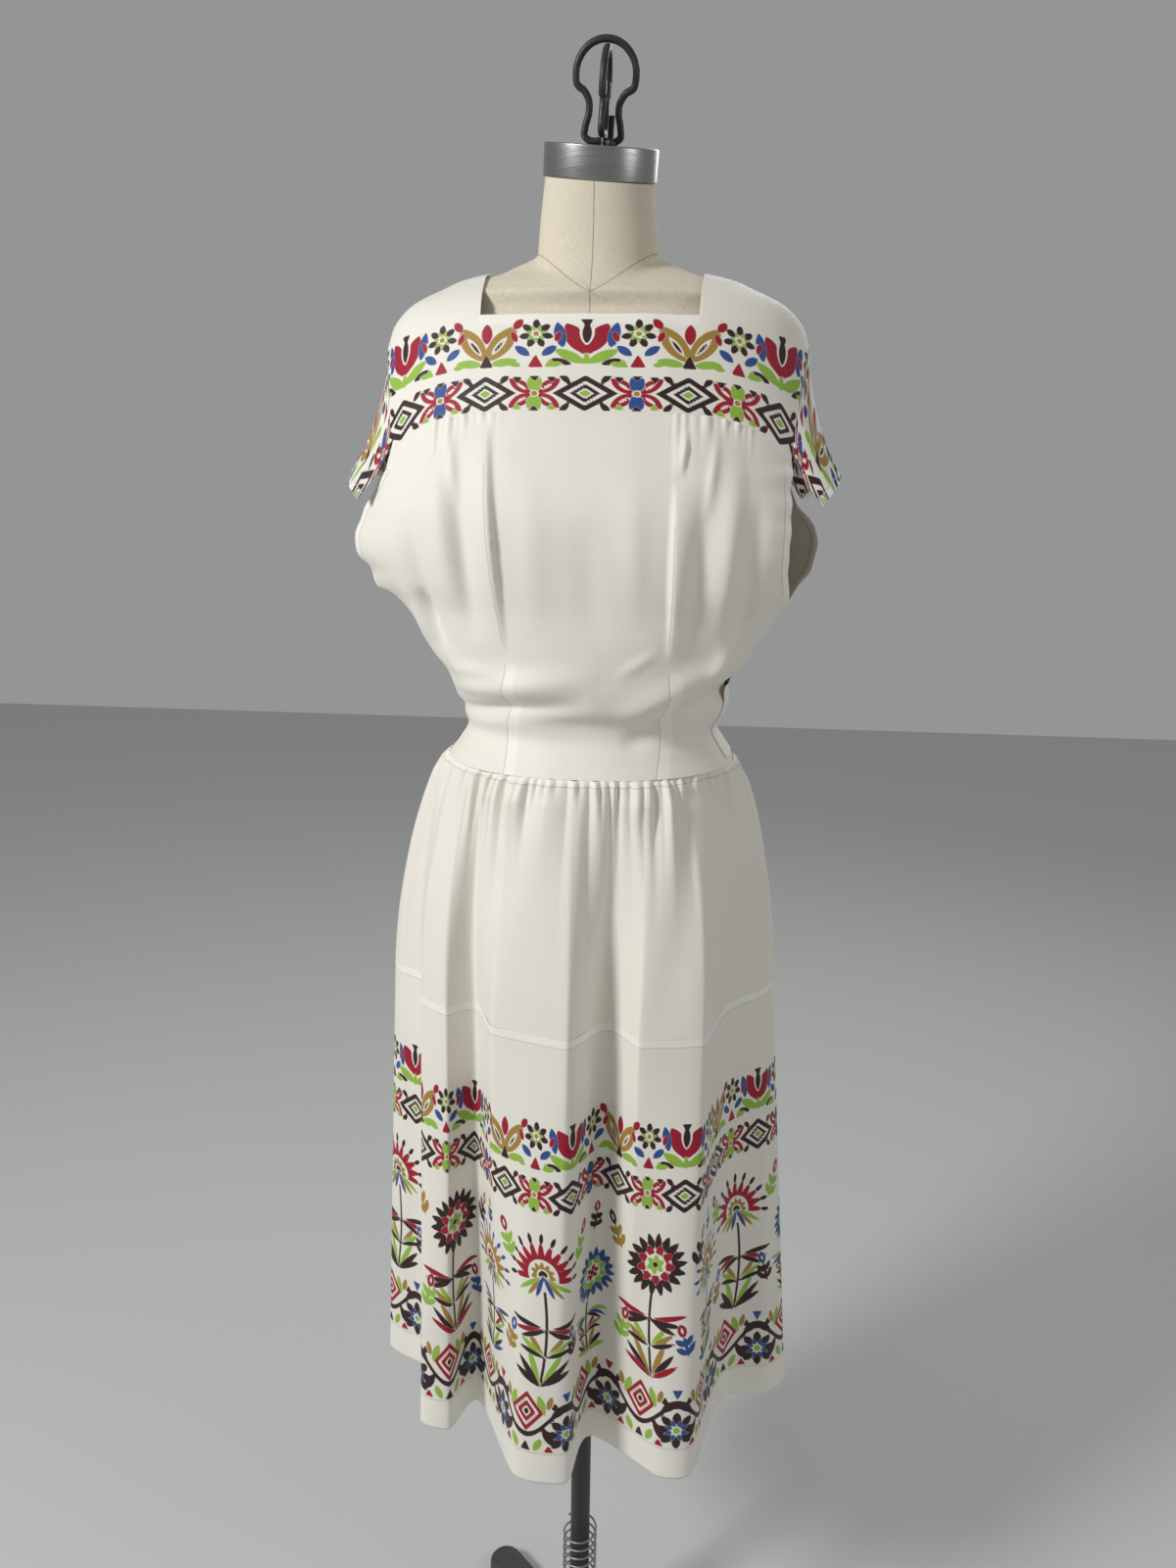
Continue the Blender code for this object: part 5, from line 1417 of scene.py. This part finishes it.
def lathe(profile, sides):
    """Rings of a solid turned about Z from a list of (radius, z), bottom to top."""
    profile = np.array(profile, dtype=float)
    turn = np.linspace(0, 2 * math.pi, sides, endpoint=False)[None, :]
    radius, z = profile[:, :1], profile[:, 1:]
    return np.stack([radius * np.cos(turn), radius * np.sin(turn), z + 0 * turn], axis=-1)


def rod(path, radius, sides):
    """Rings of a round bar along a path that stays near one plane or winds evenly. Each
    ring's first spoke is the last one's, less its part along the path."""
    path = np.asarray(path, dtype=float)
    ahead = unit(np.gradient(path, axis=0))
    across = np.cross(ahead[0], (0.31, 0.87, 0.38))
    frames = []
    for direction in ahead:
        across = across - direction * across.dot(direction)
        across = across / np.linalg.norm(across)
        frames.append(across)
    frames = np.array(frames)
    other = np.cross(ahead, frames)
    turn = np.linspace(0, 2 * math.pi, sides, endpoint=False)[None, :, None]
    return path[:, None] + radius * (frames[:, None] * np.cos(turn) + other[:, None] * np.sin(turn))


def rounded_ends(radius, low, high, edge):
    """Profile of a drum whose rims are quarter circles of radius edge."""
    turns = np.radians(np.linspace(0, 90, 7))
    foot = [(radius - edge + edge * math.sin(t), low + edge - edge * math.cos(t)) for t in turns]
    head = [(radius - edge + edge * math.cos(t), high - edge + edge * math.sin(t)) for t in turns]
    return foot + head


def brushed_steel(name):
    """Steel brushed round its axis."""
    made, tree, shader = solid_material(name, (0.36, 0.355, 0.35), 0.32, 1.0)
    spot = tree.nodes.new("ShaderNodeTexCoord").outputs["Object"]
    mapping = tree.nodes.new("ShaderNodeMapping")
    mapping.inputs["Rotation"].default_value = (-lean_angle, -roll_angle, 0)
    mapping.inputs["Scale"].default_value = (12, 12, 2600)
    tree.links.new(spot, mapping.inputs["Vector"])
    lines = add_noise(tree, mapping.outputs["Vector"], 1.0, 2.0)
    tree.links.new(map_range(tree, lines, 0.3, 0.7, 0.24, 0.42), shader.inputs["Roughness"])
    add_bump(tree, shader, lines, 0.25, 0.0002)
    return made


def worn_metal(name, colour, roughness, metallic, grain):
    """Paint or iron with small dents and uneven gloss."""
    made, tree, shader = solid_material(name, colour, roughness, metallic)
    spot = tree.nodes.new("ShaderNodeTexCoord").outputs["Object"]
    mottle = add_noise(tree, spot, grain, 4.0)
    gloss = map_range(tree, mottle, 0.3, 0.7, roughness - 0.1, roughness + 0.12)
    tree.links.new(gloss, shader.inputs["Roughness"])
    shade = map_range(tree, mottle, 0.3, 0.7, 0.0, 1.0)
    pale = tuple(1.35 * c for c in colour)
    tree.links.new(mix_colours(tree, shade, colour, pale), shader.inputs["Base Color"])
    add_bump(tree, shader, mottle, 0.3, 0.0004)
    return made


steel = brushed_steel("brushed_steel")
black_paint = worn_metal("black_paint", (0.018, 0.018, 0.020), 0.45, 0.0, 420)
spring_steel = worn_metal("spring_steel", (0.30, 0.30, 0.31), 0.38, 1.0, 600)
cast_iron = worn_metal("cast_iron", (0.070, 0.070, 0.076), 0.55, 0.5, 160)

cap_top = GAP + CAP_HEIGHT
closed_object("neck_cap_steel", leaning(lathe(rounded_ends(CAP_RADIUS, GAP, cap_top, 0.0012), 128)),
              "neck_cap", steel)


def loop_path(foot, height):
    """A keyhole: a bar along its foot, two legs and a round arch. The two ends of the bent
    rod meet in the middle of the bar. Points are (x, z)."""
    arch_z = height - LOOP_HALF_WIDTH
    turns = np.radians(np.linspace(-20, 90, 8))
    arch = [(LOOP_HALF_WIDTH * math.cos(t), arch_z + LOOP_HALF_WIDTH * math.sin(t)) for t in turns]
    half = [(x, z + foot) for x, z in LOOP_LEG] + arch
    whole = np.array(half + [(-x, z) for x, z in reversed(half[:-1])])
    length = run_length(whole)
    table = [(along, *point) for along, point in zip(length, whole)]
    at = np.linspace(0, length[-1], 220)
    return np.stack([table_curve(table, 1, at), table_curve(table, 2, at)], axis=-1)


wire_foot = cap_top + GAP
over = 2 * WIRE_RADIUS + GAP
loops = (("wide", WIRE_RADIUS, LOOP_HEIGHT - WIRE_RADIUS, 0),
         ("deep", WIRE_RADIUS + over, LOOP_HEIGHT - WIRE_RADIUS - over, 1))
for label, foot, height, column in loops:
    flat = loop_path(foot, height)
    path = np.zeros((len(flat), 3))
    path[:, column] = flat[:, 0]
    path[:, 2] = wire_foot + flat[:, 1]
    closed_object("cap_loop_" + label + "_wire", leaning(rod(path, WIRE_RADIUS, 20)), "cap_loop_" + label,
                  black_paint)
thread = []
for k in range(THREAD_STEPS):
    share = k / (THREAD_STEPS - 1)
    radius = BOLT_RADIUS - THREAD_DEPTH * (k % 4 < 2)
    thread.append((radius, wire_foot + NUT_HEIGHT + share * (BOLT_HEIGHT - NUT_HEIGHT)))
bolt_profile = [(BOLT_NUT - 0.0002, wire_foot), (BOLT_NUT, wire_foot + 0.0003),
                (BOLT_NUT, wire_foot + 0.0036), (BOLT_NUT - 0.0004, wire_foot + 0.0041), *thread]
bolt = lathe(bolt_profile, 36) + np.array([*BOLT_PLACE, 0])
closed_object("cap_bolt_thread", leaning(bolt), "cap_bolt", black_paint)

# The stand is a painted pole in a cast iron hub on a foot of three legs, with a loose coil
# spring round the foot of the pole.
POLE_RADIUS = 0.0115
HUB_RADIUS = 0.034
HUB_HEIGHT = 0.088
BASE_THICK = 0.022
BASE_LEGS = 3
BASE_LEG = 0.172
BASE_LEG_HALF_WIDTH = 0.021
BASE_TURN = -14  # degrees
BASE_ROUND = 0.006  # radius of the rounded upper edge
BASE_CHAMFER = 0.0012
CROTCH_REACH = 0.052
SPRING_TOP_Z = 0.202
SPRING_RADIUS = 0.0193
SPRING_WIRE = 0.0012
SPRING_PITCH = 0.0120

hub_low = BASE_THICK + GAP
hub_top = hub_low + HUB_HEIGHT
hub_profile = [(0.0330, hub_low), (HUB_RADIUS, hub_low + 0.001), (HUB_RADIUS, hub_low + 0.0110),
               (0.0332, hub_low + 0.0122), (0.0300, hub_low + 0.0160), (0.0272, hub_low + 0.0235),
               (0.0245, hub_low + 0.0330), (0.0228, hub_low + 0.0440), (0.0225, hub_low + 0.0560),
               (0.0225, hub_top - 0.0030), (0.0221, hub_top - 0.0012), (0.0210, hub_top)]
closed_object("stand_hub_iron", lathe(hub_profile, 72), "stand_hub", cast_iron, smooth_angle=50)
pole_low = hub_top + GAP
closed_object("stand_pole_steel", lathe(rounded_ends(POLE_RADIUS, pole_low, FORM[0][0] - GAP, 0.0006), 64),
              "stand_pole", black_paint)
spring_low = pole_low + SPRING_WIRE + GAP
spring_high = SPRING_TOP_Z - SPRING_WIRE
turns = (spring_high - spring_low) / SPRING_PITCH
turn = np.linspace(0, 2 * math.pi * turns, int(turns * 48))
coil = np.stack([SPRING_RADIUS * np.cos(turn), SPRING_RADIUS * np.sin(turn),
                 np.linspace(spring_low, spring_high, len(turn))], axis=-1)
closed_object("stand_spring_wire", rod(coil, SPRING_WIRE, 12), "stand_spring", spring_steel)


def leg_axes(turn):
    """Flat unit vectors along a leg and across it, turn radians round from the front."""
    return np.array([math.sin(turn), -math.cos(turn)]), np.array([math.cos(turn), math.sin(turn)])


def base_ring(inset):
    """Outline of the foot, drawn in from its edge by inset, anticlockwise from above. The
    corner between two legs is rounded by a curve that leaves each leg along its side."""
    ring = []
    half = BASE_LEG_HALF_WIDTH - inset
    step = 2 * math.pi / BASE_LEGS
    reach = BASE_LEG - BASE_LEG_HALF_WIDTH
    for leg in range(BASE_LEGS):
        turn = math.radians(BASE_TURN) + step * leg
        ahead, beside = leg_axes(turn)
        for angle in np.linspace(-math.pi / 2, math.pi / 2, 25):
            ring.append(ahead * (reach + half * math.cos(angle)) + beside * half * math.sin(angle))
        next_ahead, next_beside = leg_axes(turn + step)
        first = ahead * CROTCH_REACH + beside * half
        corner = (ahead + next_ahead) * half / math.sin(step)
        last = next_ahead * CROTCH_REACH - next_beside * half
        for share in np.linspace(0, 1, 9):
            ring.append(first * (1 - share) ** 2 + corner * 2 * share * (1 - share) + last * share**2)
    return np.array(ring)


rings = [(BASE_CHAMFER, 0.0), (0.0, BASE_CHAMFER), (0.0, BASE_THICK - BASE_ROUND)]
for angle in np.radians((15, 30, 45, 60, 75, 90)):
    rings.append((BASE_ROUND * (1 - math.cos(angle)), BASE_THICK - BASE_ROUND + BASE_ROUND * math.sin(angle)))
layers = []
for inset, height in rings:
    outline = base_ring(inset)
    layers.append(np.column_stack([outline, np.full(len(outline), height)]))
base = np.stack(layers)
closed_object("stand_base_iron", base, "stand_base", cast_iron, smooth_angle=50)

size = {"cad": [list(map(float, corner)) for corner in cad_box],
        "visual": [list(map(float, corner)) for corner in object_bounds()]}
